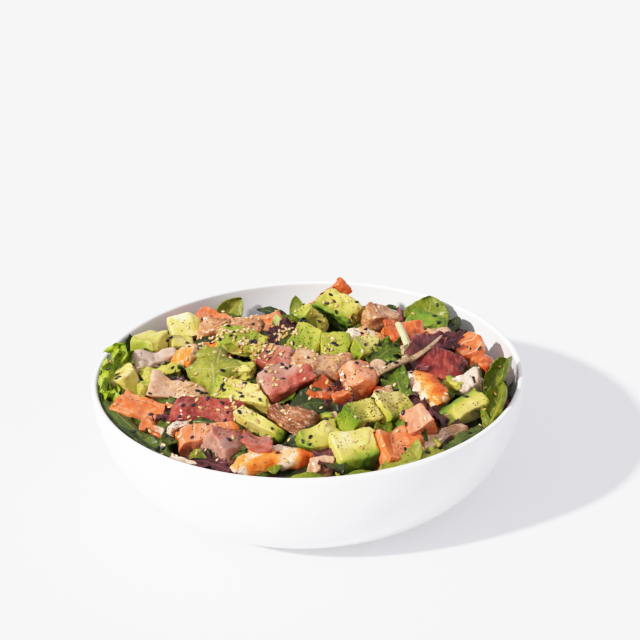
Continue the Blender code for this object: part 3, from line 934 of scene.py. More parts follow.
# %% Salmon cubes
# For each salmon cube: its tint from deep orange to pale pink, the azimuth and rise of
# the way across its layers, how thick these are in mm, and how white the lines are
SALMONS = {
    "salmon_01": (0.20, 60, 60, 9.0, 0.15),
    "salmon_02": (0.00, 40, 10, 12.0, 0.0),
    "salmon_03": (0.42, 20, 50, 9.0, 0.2),
    "salmon_04": (0.30, 90, 30, 6.0, 0.6),
    "salmon_05": (0.08, 0, 40, 11.0, 0.1),
    "salmon_06": (0.16, 140, 35, 7.0, 0.8),
    "salmon_07": (0.10, 90, 20, 9.0, 0.2),
    "salmon_08": (0.24, 60, 30, 10.0, 0.25),
    "salmon_09": (0.20, 60, 10, 8.0, 0.2),
    "salmon_10": (0.30, 12, 12, 5.5, 0.75),
    "salmon_11": (-0.14, 10, 20, 12.0, 0.0),
    "salmon_12": (0.46, 0, 30, 10.0, 0.3),
    "salmon_13": (0.26, 10, 0, 8.5, 0.6),
}


def fish_shape(block, layer_way, spacing, tint, torn, fat, seed):
    """Fish: swells, a groove along each layer line, and torn hollows up to 3 mm deep.

    The layer number is the distance across the layers over their thickness, bent by
    slow unevenness so that the lines curve. Fat says how white the lines are.
    """
    points = block.middle + block.ways * block.radius[:, None]
    across = (points - block.middle) @ layer_way + 1.6 * MM * unevenness(points, 11 * MM, seed)
    layer = across / (spacing * MM) + 0.35
    groove = np.exp(-((layer - np.round(layer)) * spacing / 0.7) ** 2)
    swell = 0.5 + 0.5 * unevenness(points, 6 * MM, seed + 1)
    hollow = smooth_step(0.1, 1.0, unevenness(points, 7 * MM, seed + 4))
    fray = np.abs(unevenness(points, 2.6 * MM, seed + 2))
    depth = MM * ((0.25 + 0.35 * torn) * groove + (0.35 + 0.8 * torn) * swell
                  + 2.6 * torn * hollow + 0.6 * torn * fray)
    shade = tint + 0.14 * unevenness(points, 8 * MM, seed + 3)
    lines = np.full(len(points), fat) * smooth_step(-0.9, 0.3, unevenness(points, 6 * MM, seed + 5))
    return block_shape(block, depth, {"tint": shade, "layer": layer, "fat": lines})


def make_salmon():
    """Every salmon cube of the model."""
    for number, (name, (tint, azimuth, rise, spacing, fat)) in enumerate(SALMONS.items()):
        block = block_of_node(name, SALMON_CRISPNESS, CUBE_STEPS)
        shape = fish_shape(block, direction(azimuth, rise), spacing, tint - 0.02, 0.35, fat,
                           400 + 10 * number)
        make_piece(f"{name}_cube", shape, salmon_flesh, [name])


make_salmon()
print("salmon cubes:", len(SALMONS))

# %% [markdown]
# ## Tuna
#
# Tuna is dense red meat with almost no fat lines. Each cube runs from crimson on one
# side to pink or tan on the other, so one cube shows both.

# %% Tuna flesh
TUNA_CRISPNESS = 24.0
TUNA_LAYER = 9.0

tuna_flesh = make_fish_flesh("raw tuna flesh",
                             [(0.22, "#52161A"), (0.42, "#87312D"), (0.60, "#A94D3E"),
                              (0.82, "#BE7866"), (1.0, "#BC8E7E")], "#CC8E80", 0.28, 0.18)

# For each tuna cube: tint from dark crimson to pale pink, how strongly it pales to one
# side, and the azimuth and rise of that side
TUNAS = {
    "tuna_01": (0.50, 0.30, 20, 30),
    "tuna_02": (0.52, 0.34, 150, 45),
    "tuna_03": (0.08, 0.22, 250, 0),
    "tuna_04": (0.24, 0.10, 0, 30),
    "tuna_05": (0.52, 0.45, 215, -15),
}


def make_tuna():
    """Every tuna cube of the model."""
    for number, (name, (tint, fade, azimuth, rise)) in enumerate(TUNAS.items()):
        block = block_of_node(name, TUNA_CRISPNESS, CUBE_STEPS)
        shape = fish_shape(block, direction(azimuth + 90, rise), TUNA_LAYER, tint - 0.10, 0.4, 0.15,
                           600 + 10 * number)
        paler = fade * along_block(block, direction(azimuth, rise))
        shape.values["tint"][:] += paler
        make_piece(f"{name}_cube", shape, tuna_flesh, [name])


make_tuna()
print("tuna cubes:", len(TUNAS))

# %% [markdown]
# ## White fish
#
# The white fish has taken up the brown dressing: it is peach, tan or grey-pink, wetter
# and softer than the salmon, with torn and folded edges and fine parallel fibres.

# %% White fish flesh
WHITE_FISH_CRISPNESS = 16.0
FIBRE_SPACING = 4.5

white_fish_flesh = make_fish_flesh("marinated white fish flesh",
                                   [(0.20, "#80492A"), (0.40, "#B0744A"), (0.60, "#CB9468"),
                                    (0.82, "#D8AE90"), (1.0, "#DAC2B0")], "#EAD2BC", 0.42, 0.15)

# For each piece of white fish: tint from tan over peach to grey-pink, the azimuth and
# rise of the way across its fibres, and how torn it is
WHITE_FISH = {
    "white_fish_01": (0.22, 90, 30, 0.6),
    "white_fish_02": (0.78, 100, 40, 0.4),
    "white_fish_03": (0.30, 60, 40, 0.7),
    "white_fish_04": (0.36, 80, 50, 0.5),
    "white_fish_05": (0.26, 30, 20, 0.9),
    "white_fish_06": (0.50, 30, 20, 0.6),
    "white_fish_07": (0.76, 20, 20, 0.5),
    "white_fish_08": (0.50, 70, 20, 0.6),
    "white_fish_09": (0.46, 80, 30, 0.8),
    "white_fish_10": (0.74, 170, 0, 0.6),
    "white_fish_11": (0.06, 60, 30, 0.9),
    "white_fish_12": (0.50, 90, 60, 0.3),
    "white_fish_13": (0.56, 120, 40, 0.8),
}


def make_white_fish():
    """Every piece of white fish of the model."""
    for number, (name, (tint, azimuth, rise, torn)) in enumerate(WHITE_FISH.items()):
        block = block_of_node(name, WHITE_FISH_CRISPNESS, CUBE_STEPS + 2)
        shape = fish_shape(block, direction(azimuth, rise), FIBRE_SPACING, tint - 0.14, torn, 0.2,
                           700 + 10 * number)
        make_piece(f"{name}_piece", shape, white_fish_flesh, [name])


make_white_fish()
print("pieces of white fish:", len(WHITE_FISH))

# %% [markdown]
# ## Shrimp
#
# A cooked shrimp is white inside with an orange skin that lies in bands, one for each
# joint of the tail. The white side is ragged where it was peeled and chopped.

# %% Shrimp flesh
SHRIMP_CRISPNESS = 9.0
SHRIMP_CLOUD = 2.4


def make_shrimp_flesh():
    """Cooked shrimp: orange bands over white flesh, wet (IOR 1.38, roughness 0.26)."""
    material, output = new_material("cooked shrimp")
    place = add_node(material, "TexCoord")
    tint = add_node(material, "Attribute", {"attribute_name": "tint"})
    cloud = add_node(material, "TexNoise",
                     inputs={"Vector": place.outputs["Object"], "Scale": 1000 / SHRIMP_CLOUD,
                             "Detail": 4.0})
    shift = add_node(material, "Math", {"operation": "MULTIPLY_ADD"},
                     {0: cloud, 1: 0.55, 2: tint.outputs["Fac"]})
    colour = add_node(material, "ValToRGB", inputs={"Fac": shift},
                      stops=[(0.18, "#F9E0CE"), (0.40, "#F5CEAA"), (0.55, "#F4A254"),
                             (0.80, "#EC7F2F"), (1.0, "#DB6124")])
    bump = add_node(material, "Bump",
                    inputs={"Height": cloud, "Strength": 0.4, "Distance": 0.0005})
    shader = add_node(material, "BsdfPrincipled",
                      inputs={"Base Color": colour, "IOR": 1.38, "Roughness": 0.26,
                              "Normal": bump, "Subsurface Weight": 0.2,
                              "Coat Weight": 0.35, "Coat Roughness": 0.16, "Coat IOR": 1.4,
                              "Subsurface Radius": (1.0, 0.5, 0.25), "Subsurface Scale": 0.003})
    return finished(material, output, shader)


shrimp_flesh = make_shrimp_flesh()

# For each shrimp: azimuth and rise of its orange side, how orange it is, joints shown
SHRIMPS = {
    "shrimp_01": (230, 20, 0.36, 3.0),
    "shrimp_02": (60, 60, 0.45, 3.0),
    "shrimp_03": (30, 20, 0.12, 2.5),
    "shrimp_04": (20, 30, 0.72, 3.5),
    "shrimp_05": (300, 30, 0.52, 4.5),
}


def shrimp_shape(block, orange_way, orange, joints, seed):
    """Shrimp: a groove 0.5 mm deep at each joint along the longest axis, and a white side
    with tufts up to 1.3 mm deep."""
    points = block.middle + block.ways * block.radius[:, None]
    longest = block.axes[np.argmax(block.reach[1] - block.reach[0])]
    place = along_block(block, longest) + 0.12 * unevenness(points, 8 * MM, seed)
    band = 0.5 + 0.5 * np.cos(np.pi * joints * place)
    side = along_block(block, orange_way)
    patch = smooth_step(-0.1, 0.7, unevenness(points, 7 * MM, seed + 4))
    tint = orange * (0.50 + 0.75 * side) + 0.22 * band - 0.08 - 0.42 * patch
    white = 1.0 - smooth_step(-0.1, 0.5, side)
    tufts = np.abs(unevenness(points, 2.4 * MM, seed + 1))
    tufts += np.abs(unevenness(points, 1.3 * MM, seed + 2))
    swell = 0.5 + 0.5 * unevenness(points, 6 * MM, seed + 3)
    depth = MM * (0.5 * (1 - band) + 0.8 * swell + 0.8 * tufts * white)
    depth += 6 * MM * block.edge * tufts
    return block_shape(block, depth, {"tint": tint})


def make_shrimps():
    """Every shrimp of the model."""
    for number, (name, (azimuth, rise, orange, joints)) in enumerate(SHRIMPS.items()):
        block = block_of_node(name, SHRIMP_CRISPNESS, CUBE_STEPS)
        shape = shrimp_shape(block, direction(azimuth, rise), orange, joints, 900 + 10 * number)
        make_piece(f"{name}_tail", shape, shrimp_flesh, [name])


make_shrimps()
print("shrimps:", len(SHRIMPS))

# %% [markdown]
# ## Smaller scraps
#
# Between the cubes lie a few bits too small to be solids of their own in the model:
# mashed avocado, scraps of fish and a red lump on the front shrimp.

# %% Scraps
# name, kind, place over the rim, size, turn, tilt, tint or greenness
Scrap = namedtuple("Scrap", "name kind place size turn tilt tint")
SCRAPS = [
    Scrap("avocado_mash_left", "avocado", (-90, -15, -3), (17, 11, 9), 20, 0, 0.35),
    Scrap("avocado_mash_middle", "avocado", (-37, -17, 7), (17, 12, 9), -15, 10, 0.45),
    Scrap("avocado_bit_right", "avocado", (82, -29, -2), (13, 9, 10), -30, 0, 0.8),
    Scrap("salmon_scrap_front_right", "salmon", (50, -85, -3), (19, 15, 13), 30, 12, 0.42),
    Scrap("salmon_scrap_middle", "salmon", (18, -52, 5), (12, 8, 7), 15, 10, 0.10),
    Scrap("salmon_scrap_left", "salmon", (-38, 27, 6), (16, 10, 8), -20, 10, 0.45),
    Scrap("white_fish_scrap_right", "white_fish", (38, -27, 8), (14, 9, 9), 60, 20, 0.50),
    Scrap("fish_scrap_front", "white_fish", (-66, -95, -7), (19, 8, 6), -28, 25, 0.72),
    Scrap("fish_scrap_middle", "white_fish", (41, -45, 3), (13, 10, 9), 20, 10, 0.35),
    Scrap("red_lump_front", "tuna", (-27, -93, 4), (15, 9, 7), -10, 10, 0.36),
]


def make_scraps():
    """The scraps, each in the finish of its kind."""
    for number, scrap in enumerate(SCRAPS):
        block = loose_block(scrap.place, scrap.size, scrap.turn, scrap.tilt, LOOSE_CRISPNESS,
                            LOOSE_STEPS)
        seed = 1100 + 10 * number
        if scrap.kind == "avocado":
            shape = avocado_shape(block, direction(60, 40), scrap.tint, 0.9, seed)
            make_piece(scrap.name, shape, avocado_flesh)
        else:
            finish = {"white_fish": white_fish_flesh, "salmon": salmon_flesh,
                      "tuna": tuna_flesh}[scrap.kind]
            shape = fish_shape(block, direction(80, 30), 6.0, scrap.tint - 0.1, 0.6, 0.2, seed)
            make_piece(scrap.name, shape, finish)


make_scraps()
print("scraps:", len(SCRAPS))

# %% [markdown]
# ## The heap of leaves
#
# The salad fills the bowl. Only its top shows, in the gaps between the cubes, so the
# inside is one closed core just under the leaves, crumpled like packed leaves. It is
# painted nearly black: painted shade for the gaps between the cubes.
# Its top is the same low mound that the model's heap has.

# %% Heap core
HEAP_MIDDLE = 5.0 * MM
HEAP_EDGE = -10.0 * MM
HEAP_LEAN = 12.0 * MM
CORE_DROP = 3.0 * MM
CORE_GAP = 1.0 * MM
CORE_RINGS, CORE_SKIRT_RINGS, CORE_STEPS = 56, 9, 150
CORE_PATCH = 12.0


def heap_height(x, y):
    """The mound's height: it falls with the square of the distance from the middle, and
    further towards the back."""
    edge_radius = RIM_RADIUS - WALL
    share = np.minimum(np.hypot(x, y) / edge_radius, 1.0)
    back = np.clip((1 + y / edge_radius) / 2, 0.0, 1.0)
    mound = (HEAP_MIDDLE - HEAP_EDGE) * (1 - share ** 2)
    return BOWL_HEIGHT + HEAP_EDGE + mound - HEAP_LEAN * back ** 2


def core_shape():
    """The core: a disc whose height is the mound's, less a drop and crumples, closed below
    by a skirt that follows the bowl's inside."""
    share = np.linspace(0.0, 1.0, CORE_RINGS)[1:, None]
    around = np.linspace(0.0, 2 * np.pi, CORE_STEPS, endpoint=False)[None, :]
    outer = wall_radius(BOWL_HEIGHT + HEAP_EDGE - HEAP_LEAN) - CORE_GAP
    x, y = outer * share * np.cos(around), outer * share * np.sin(around)
    flat = np.stack([x, y, np.zeros_like(x)], axis=-1)
    crumple = unevenness(flat, 9 * MM, 31) * 2.2 + unevenness(flat, 4 * MM, 32) * 1.2
    top = heap_height(x, y) - CORE_DROP - HEAP_LEAN * 0.15 + crumple * MM
    top_rings = np.stack([x, y, top], axis=-1)
    depth = np.linspace(0.0, 1.0, CORE_SKIRT_RINGS + 1)[1:, None]
    height = top[-1] + (FLOOR_TOP + CORE_GAP - top[-1]) * depth
    radius = np.minimum(wall_radius(height) - CORE_GAP, outer)
    skirt = np.stack([radius * np.cos(around), radius * np.sin(around), height], axis=-1)
    middle_top = [0.0, 0.0, heap_height(0.0, 0.0) - CORE_DROP]
    middle_low = [0.0, 0.0, FLOOR_TOP + CORE_GAP]
    return closed_tube(np.concatenate([top_rings, skirt]), middle_top, middle_low)


def make_core_finish():
    """Packed salad leaves, dark green with purple-brown patches 12 mm across, darkened as painted
    shade.
    """
    material, output = new_material("packed salad leaves")
    place = add_node(material, "TexCoord")
    patches = add_node(material, "TexNoise",
                       inputs={"Vector": place.outputs["Object"], "Scale": 1000 / CORE_PATCH,
                               "Detail": 4.0})
    # Nearly black stops: painted shade of the gaps between the cubes
    colour = add_node(material, "ValToRGB", inputs={"Fac": patches},
                      stops=[(0.35, "#2B1A1C"), (0.47, "#3A2A22"), (0.52, "#2A3A18"),
                             (0.65, "#4C6426")])
    shader = add_node(material, "BsdfPrincipled",
                      inputs={"Base Color": colour, "Roughness": 0.5})
    return finished(material, output, shader)


core = make_piece("salad_core", core_shape(), make_core_finish(), ["leaf_bed"])
print("core faces:", len(core.data.polygons))

# %% [markdown]
# ## Salad leaves
#
# Baby spinach is smooth and dark with a pale midrib, lettuce is bright, thin and frilled
# at its edge, and red lettuce is purple. They could be flat cards with a picture on
# them, but a grid bent along its midrib casts real shadows. A leaf is a function of two
# numbers: u from stalk to tip, and v from one edge to the other.

# %% Leaf blade
LEAF_THICKNESS = 0.45 * MM
STALK_HALF_WIDTH = 0.7 * MM


def middle_line(base, middle, tip, count):
    """The parabola through three places over the rim in mm: its parameter u from 0 to 1,
    its points and its direction at each of them."""
    u = np.linspace(0.0, 1.0, count)[:, None]
    base, middle, tip = over_rim(base), over_rim(middle), over_rim(tip)
    line = base * (2 * u - 1) * (u - 1) + middle * 4 * u * (1 - u) + tip * u * (2 * u - 1)
    forward = np.gradient(line, axis=0)
    return u, line, forward / np.linalg.norm(forward, axis=1)[:, None]


def blade(base, middle, tip, facing, width, cup=2.0, frill=0.0, waves=4.0, jag=0.0, fan=0.8,
          round_tip=0.75, seed=0, along=60, across=21, roll=0.0):
    """A leaf blade, sizes in mm and places over the rim.

    The midrib is the parabola through base, middle and tip. The half width is
    width / 2 * sin(pi * u ** fan) ** round_tip, less ragged notches of jag: a fan over 1
    puts the widest place towards the tip. Across it the blade rises by cup * v squared,
    and its edge waves with frill * |v| cubed times three sines along the leaf, out of step
    on the two sides. A rolled leaf lies across on a circle: roll is the angle in radians
    from its midrib to its edge.
    """
    u, rib, forward = middle_line(base, middle, tip, along)
    v = np.linspace(-1.0, 1.0, across)[None, :]
    normal = np.asarray(facing, float) - (forward @ np.asarray(facing, float))[:, None] * forward
    normal /= np.linalg.norm(normal, axis=1)[:, None]
    side = np.cross(forward, normal)
    notch = np.stack([u * 3 * waves + 0 * v, np.sign(v) + 0 * u, u * 0 + v * 0 + seed], axis=-1)
    edge_noise = unevenness(notch, 1.0, seed)
    half = width / 2 * MM * np.sin(np.pi * np.clip(u, 0, 1) ** fan) ** round_tip
    half = np.maximum(half, STALK_HALF_WIDTH * (1 - u)) * (1 + jag * np.abs(v) ** 3 * edge_noise)
    phase = np.where(v < 0, 0.0, 1.9) + seed
    turns = 2 * np.pi * waves * u
    wave = np.sin(turns + phase) + 0.5 * np.sin(2.3 * turns + 2 * phase)
    wave += 0.3 * np.sin(5.1 * turns + 3 * phase) * np.abs(v)
    rise = MM * (cup * v ** 2 * np.sin(np.pi * u) ** 0.5 + frill * np.abs(v) ** 3 * wave)
    out = half * v
    if roll:
        out = half * np.sin(roll * v) / roll
        rise = rise + half * (1 - np.cos(roll * v)) / roll
    points = rib[:, None] + side[:, None] * out[..., None] + normal[:, None] * rise[..., None]
    puckers = unevenness(points, 5 * MM, seed + 50) * 0.35 * MM
    points = inside_bowl(points + normal[:, None] * puckers[..., None])
    uv = np.stack([u + 0 * v, v / 2 + 0.5 + 0 * u], axis=-1).reshape(-1, 2)
    return Shape(points.reshape(-1, 3), grid_faces(along, across), uv, {})


print("faces of a grid of 60 x 21 points:", len(grid_faces(60, 21)))

# %% [markdown]
# ### Leaf finish
#
# A leaf's face has a pale midrib and side veins that leave it at a slant. Both are drawn
# from the leaf's own u and v, so they follow every bend. The blade puffs up between the
# veins, which the bump shows, and its waxy skin gives a soft gloss.

# %% Leaf material
SIDE_VEINS = 7.0
VEIN_SLANT = 2.2
LEAF_MOTTLE = 5.0


def make_leaf_finish(name, stops, vein, vein_strength, roughness):
    """A fresh leaf: waxy (IOR 1.45), a little light comes through.

    The midrib is where |v| is small, and narrows to the tip. The side veins are where
    u * SIDE_VEINS - VEIN_SLANT * |v| is near a whole number.
    """
    material, output = new_material(name)
    place = add_node(material, "TexCoord")
    split = add_node(material, "SeparateXYZ", inputs={"Vector": place.outputs["UV"]})
    centred = add_node(material, "Math", {"operation": "SUBTRACT"},
                       {0: split.outputs["Y"], 1: 0.5})
    off_rib = add_node(material, "Math", {"operation": "ABSOLUTE"}, {0: centred})
    rib_width = add_node(material, "MapRange",
                         inputs={"Value": split.outputs["X"], "To Min": 0.09, "To Max": 0.02})
    rib = add_node(material, "MapRange", {"interpolation_type": "SMOOTHSTEP"},
                   {"Value": off_rib, "From Min": 0.0, "From Max": rib_width,
                    "To Min": 1.0, "To Max": 0.0})
    slant = add_node(material, "Math", {"operation": "MULTIPLY"},
                     {0: off_rib, 1: -2 * VEIN_SLANT})
    course = add_node(material, "Math", {"operation": "MULTIPLY_ADD"},
                      {0: split.outputs["X"], 1: SIDE_VEINS, 2: slant})
    gap = add_node(material, "Math", {"operation": "PINGPONG"}, {0: course, 1: 0.5})
    side = add_node(material, "MapRange", {"interpolation_type": "SMOOTHSTEP"},
                    {"Value": gap, "From Min": 0.0, "From Max": 0.12, "To Min": 0.55,
                     "To Max": 0.0})
    veins = add_node(material, "Math", {"operation": "MAXIMUM"},
                     {0: rib, 1: side})
    seen = add_node(material, "Math", {"operation": "MULTIPLY"},
                    {0: veins, 1: vein_strength})
    mottle = add_node(material, "TexNoise",
                      inputs={"Vector": place.outputs["Object"], "Scale": 1000 / LEAF_MOTTLE,
                             "Detail": 3.0})
    face = add_node(material, "ValToRGB", inputs={"Fac": mottle}, stops=stops)
    colour = add_node(material, "Mix", {"data_type": "RGBA"},
                      {"Factor": seen, MIX_A: face, MIX_B: linear(vein)})
    bump = add_node(material, "Bump", {"invert": True},
                    {"Height": veins, "Strength": 0.5, "Distance": 0.0006})
    shader = add_node(material, "BsdfPrincipled",
                      inputs={"Base Color": colour.outputs[MIX_RESULT], "Roughness": roughness,
                              "IOR": 1.45, "Normal": bump,
                              "Subsurface Weight": 0.12, "Subsurface Radius": (0.5, 1.0, 0.2),
                              "Subsurface Scale": 0.002})
    return finished(material, output, shader)


# For each kind of leaf: its name, three colours and where they stand in the mottle, the
# colour and strength of its veins, and its roughness
LEAF_KINDS = {
    "spinach": ("spinach leaf", [(0.3, "#374514"), (0.55, "#4D5F1C"), (0.75, "#636F28")],
                "#9A924E", 0.45, 0.38),
    # dark: a deeper green than spinach, partly the leaf's own colour and partly painted shade
    "dark": ("dark spinach leaf", [(0.3, "#212A0F"), (0.55, "#344016"), (0.75, "#465322")],
             "#72743D", 0.35, 0.38),
    "bright": ("bright green leaf", [(0.3, "#566509"), (0.55, "#757F14"), (0.75, "#8A8D23")],
               "#B4A351", 0.5, 0.38),
    "lettuce": ("light green lettuce", [(0.3, "#747E25"), (0.55, "#949435"), (0.75, "#AEA751")],
                "#C7B975", 0.6, 0.38),
    "frilly": ("frilly green lettuce", [(0.3, "#799313"), (0.55, "#9EB122"), (0.75, "#C0C845")],
               "#CDCC6A", 0.4, 0.38),
    "curly": ("curly green leaf", [(0.3, "#364C0D"), (0.55, "#5A6E17"), (0.75, "#879333")],
              "#ADA853", 0.4, 0.38),
    "pale": ("pale lettuce heart", [(0.3, "#9DA558"), (0.6, "#B8B770"), (0.8, "#C9C388")],
             "#D4CA9C", 0.5, 0.38),
    "purple": ("purple lettuce", [(0.3, "#351A1C"), (0.5, "#552B33"), (0.72, "#79434B")],
               "#A47376", 0.5, 0.30),
    "red": ("red lettuce", [(0.3, "#572229"), (0.5, "#803E44"), (0.75, "#9C6562")],
            "#BA8873", 0.6, 0.30),
}
leaf_finishes = {kind: make_leaf_finish(*looks) for kind, looks in LEAF_KINDS.items()}
print("leaf finishes:", ", ".join(leaf_finishes))

# %% [markdown]
# ### The leaves that show
#
# Each leaf that can be told apart has its own line: where its stalk, middle and tip are,
# which way its face looks, and how wide, cupped, frilled and ragged it is.

# %% Listed leaves
Leaf = namedtuple("Leaf", "name kind base middle tip facing width cup frill waves jag node "
                  "fan roll", defaults=[None, 0.8, 0.0])
# Leaves of the kind dark stand where leaves lie in shade, and their darker green is partly painted
# shade
LEAVES = [
    # along the left wall
    Leaf("frilly_leaf_left_back", "frilly", (-102, 8, -14), (-109, 11, -3), (-114, 17, 10),
         (0.7, -0.7, 0.3), 24, 2, 4.6, 4, 0.7, "frilly_leaf_left", 1.2),
    Leaf("frilly_leaf_left_middle", "frilly", (-100, 0, -12), (-110, -3, -2), (-119, -6, 6),
         (0.6, -0.3, 0.7), 26, 2, 4.6, 5, 0.7, None, 1.2),
    Leaf("frilly_leaf_left_front", "frilly", (-103, -14, -14), (-111, -20, -5), (-118, -26, 1),
         (0.7, 0.1, 0.6), 20, 2, 4.0, 4, 0.7, None, 1.2),
    Leaf("dark_leaf_left_back", "dark", (-104, 38, -18), (-108, 44, -8), (-109, 48, 1),
         (0.9, -0.4, 0.2), 20, 2, 0.5, 2, 0.0),
    # the left front rim
    Leaf("spinach_leaf_front_left", "spinach", (-70, -87, -12), (-97, -60, -3), (-117, -23, -3),
         (0.25, -0.25, 0.93), 16, -3, 2.8, 1.7, 0.0, "spinach_leaf_front"),
    Leaf("spinach_leaf_front_rim", "dark", (-60, -102, -14), (-89, -78, -9), (-110, -47, -7),
         (0.60, 0.50, 0.50), 20, 2, 0.6, 2, 0.0),
    Leaf("spinach_leaf_front_low", "spinach", (-66, -97, -10), (-84, -83, -3), (-100, -66, -6),
         (0.20, -0.40, 0.90), 10, 2, 1.6, 2, 0.0),
    Leaf("purple_leaf_front_left", "purple", (-68, -91, -8), (-54, -98, -4), (-38, -107, -7),
         (0.1, -0.1, 1.0), 15, 1, 1.6, 3, 0.2),
    Leaf("green_bit_front_left", "bright", (-63, -92, -5), (-59, -94, -1.5), (-54, -96, -3),
         (0.1, -0.4, 0.9), 6, 1, 0.2, 2, 0.0),
    # at the back wall
    Leaf("pointed_leaf_back", "lettuce", (-57, 97, -19), (-50, 104, -12), (-42, 110, -5),
         (0.25, -0.85, 0.45), 17, 3, 0.4, 2, 0.0),
    Leaf("round_leaf_back_tall", "bright", (-2, 60, -2), (-5, 65, 6), (-6, 69, 14),
         (-0.3, -0.9, 0.3), 11, 1, 0.3, 1, 0.0),
    Leaf("round_leaf_back_low", "bright", (-5, 56, -4), (-10, 57, 1), (-15, 59, 5),
         (0.1, -0.8, 0.6), 11, 1, 0.3, 1, 0.0),
    Leaf("pale_leaf_back", "pale", (-15, 50, -6), (-17, 58, -2), (-19, 66, 3),
         (0.0, -0.8, 0.6), 10, 1, 0.6, 2, 0.1),
    Leaf("purple_leaf_middle", "purple", (-21, 17, 4), (-14, 30, 8), (-4, 46, 6),
         (0.0, -0.6, 0.8), 13, 2, 1.5, 3, 0.2),
    Leaf("small_leaf_middle", "spinach", (-15, 12, 4), (-10, 19, 9), (-7, 27, 9),
         (0.0, -0.7, 0.7), 10, 1, 0.4, 2, 0.0),
    Leaf("spinach_leaf_back_wall", "bright", (70, 60, -14), (77, 72, -4), (80, 81, 5),
         (-0.20, -0.75, 0.60), 29, 3, 0.8, 2, 0.0, "spinach_leaf_back"),
    Leaf("spinach_leaf_back_side", "spinach", (58, 64, -12), (60, 73, -8), (62, 84, -6),
         (-0.2, -0.8, 0.5), 15, 2, 0.8, 2, 0.1),
    Leaf("dark_leaf_back_right", "dark", (84, 50, -12), (91, 60, -8), (95, 68, -4),
         (-0.8, -0.5, 0.4), 20, 2, 0.5, 2, 0.0),
    # the middle
    Leaf("big_lettuce_leaf", "lettuce", (-54, -38, 1), (-54, -20, 11), (-60, -1, 15),
         (0.05, -0.6, 0.8), 30, -10, 2.6, 2, 0.1, None, 1.6),
    Leaf("big_lettuce_lobe", "lettuce", (-54, -28, 6), (-51, -12, 13), (-50, 2, 13),
         (0.3, -0.6, 0.7), 20, -4, 2.4, 3, 0.2, None, 1.4),
    Leaf("big_lettuce_tail", "lettuce", (-56, -26, 8), (-45, -20, 10.5), (-32, -20, 9),
         (0.1, -0.6, 0.8), 14, -3, 0.9, 2, 0.0),
    Leaf("spinach_leaf_middle", "dark", (-9, -58, 0), (3, -56, 6), (16, -61, 2),
         (0.0, -0.45, 0.9), 19, 1, 0.8, 2, 0.0),
    Leaf("spinach_leaf_middle_low", "dark", (-16, -84, -7), (-5, -87, -2), (8, -90, -5),
         (0.0, -0.4, 0.9), 14, 1, 0.5, 2, 0.0),
    Leaf("red_leaf_middle", "purple", (14, -64, 0), (17, -50, 5), (19, -33, 5),
         (0.2, -0.5, 0.8), 15, 2, 2.0, 3, 0.25),
    Leaf("green_leaf_bit_middle", "bright", (-3, -27, 9), (1, -35, 8), (5, -44, 3),
         (-0.3, -0.7, 0.7), 10, 1, 1.2, 3, 0.2),
    Leaf("frilly_leaf_right_back", "curly", (36, -16, 5), (46, -6, 11), (57, 3, 9),
         (0.0, -0.6, 0.8), 15, 2, 2.2, 5, 0.35),
    Leaf("frilly_leaf_right_front", "curly", (50, -52, -1), (50, -36, 6), (46, -19, 7),
         (-0.2, -0.5, 0.85), 13, 2, 2.2, 4, 0.35),
    Leaf("red_leaf_right", "red", (56, -14, 6), (68, -5, 9), (80, 18, 8),
         (0.2, -0.65, 0.75), 20, 3, 1.8, 3, 0.15),
    Leaf("red_leaf_right_low", "purple", (60, -22, 0), (70, -12, 4), (80, 2, 4),
         (0.1, -0.6, 0.8), 20, 2, 1.6, 3, 0.15),
    Leaf("purple_leaf_right_tip", "purple", (77, 12, 3), (86, 19, 4), (95, 22, 1),
         (0.0, -0.7, 0.7), 11, 1, 0.8, 2, 0.1),
    # the right wall
    Leaf("curled_leaf_right_back", "bright", (101, -36, -8), (110, -23, 0), (118, -7, 5),
         (-0.55, -0.55, 0.6), 24, 0, 0.9, 2, 0.0, None, 0.8, 2.1),
    Leaf("curled_leaf_right_front", "bright", (97, -60, -11), (105, -50, -1), (108, -38, 4),
         (-0.5, -0.6, 0.6), 22, 0, 1.2, 2, 0.0, None, 0.8, 1.9),
    Leaf("olive_leaf_right", "lettuce", (97, -38, -9), (101, -27, -6), (105, -14, -6),
         (-0.3, -0.6, 0.75), 15, 1, 0.4, 2, 0.0),
    Leaf("dark_leaf_right", "dark", (104, -44, -12), (112, -34, -6), (117, -22, -4),
         (-0.8, 0.1, 0.5), 16, 2, 0.5, 2, 0.0),
    # the right front rim
    Leaf("long_leaf_right_front", "spinach", (98, -68, -6), (84, -84, -3), (66, -99, -5),
         (-0.3, -0.1, 0.9), 13, 1, 0.8, 3, 0.15),
    Leaf("narrow_leaf_right_front", "bright", (96, -78, -6), (95, -72, 0), (93, -63, 4),
         (-0.5, -0.7, 0.4), 5, 1, 0.3, 2, 0.0),
    Leaf("pale_lettuce_front_right", "lettuce", (32, -113, -7), (52, -105, -3), (70, -94, -4),
         (-0.1, -0.3, 0.95), 11, 1, 1.2, 3, 0.25),
    Leaf("pale_lettuce_front_lobe", "lettuce", (50, -104, -6), (54, -100, -1), (56, -95, 4),
         (-0.3, -0.8, 0.5), 8, 1, 0.6, 2, 0.1),
    Leaf("green_bit_front", "bright", (-14, -115, -8), (-2, -117, -4), (8, -115, -6),
         (0.0, -0.3, 0.95), 7, 1, 0.3, 2, 0.0),
    Leaf("green_bit_front_right", "bright", (12, -116, -8), (24, -115, -4.5), (34, -111, -6),
         (0.0, -0.3, 0.95), 6, 1, 0.3, 2, 0.0),
]


def make_leaves():
    """Every leaf that is listed."""
    for number, leaf in enumerate(LEAVES):
        shape = blade(*leaf[2:11], leaf.fan, seed=number, roll=leaf.roll)
        nodes = [leaf.node] if leaf.node else []
        piece = make_piece(leaf.name, shape, leaf_finishes[leaf.kind], nodes,
                           solid=False)
        thicken(piece, LEAF_THICKNESS)


make_leaves()
print("leaves placed by hand:", len(LEAVES))

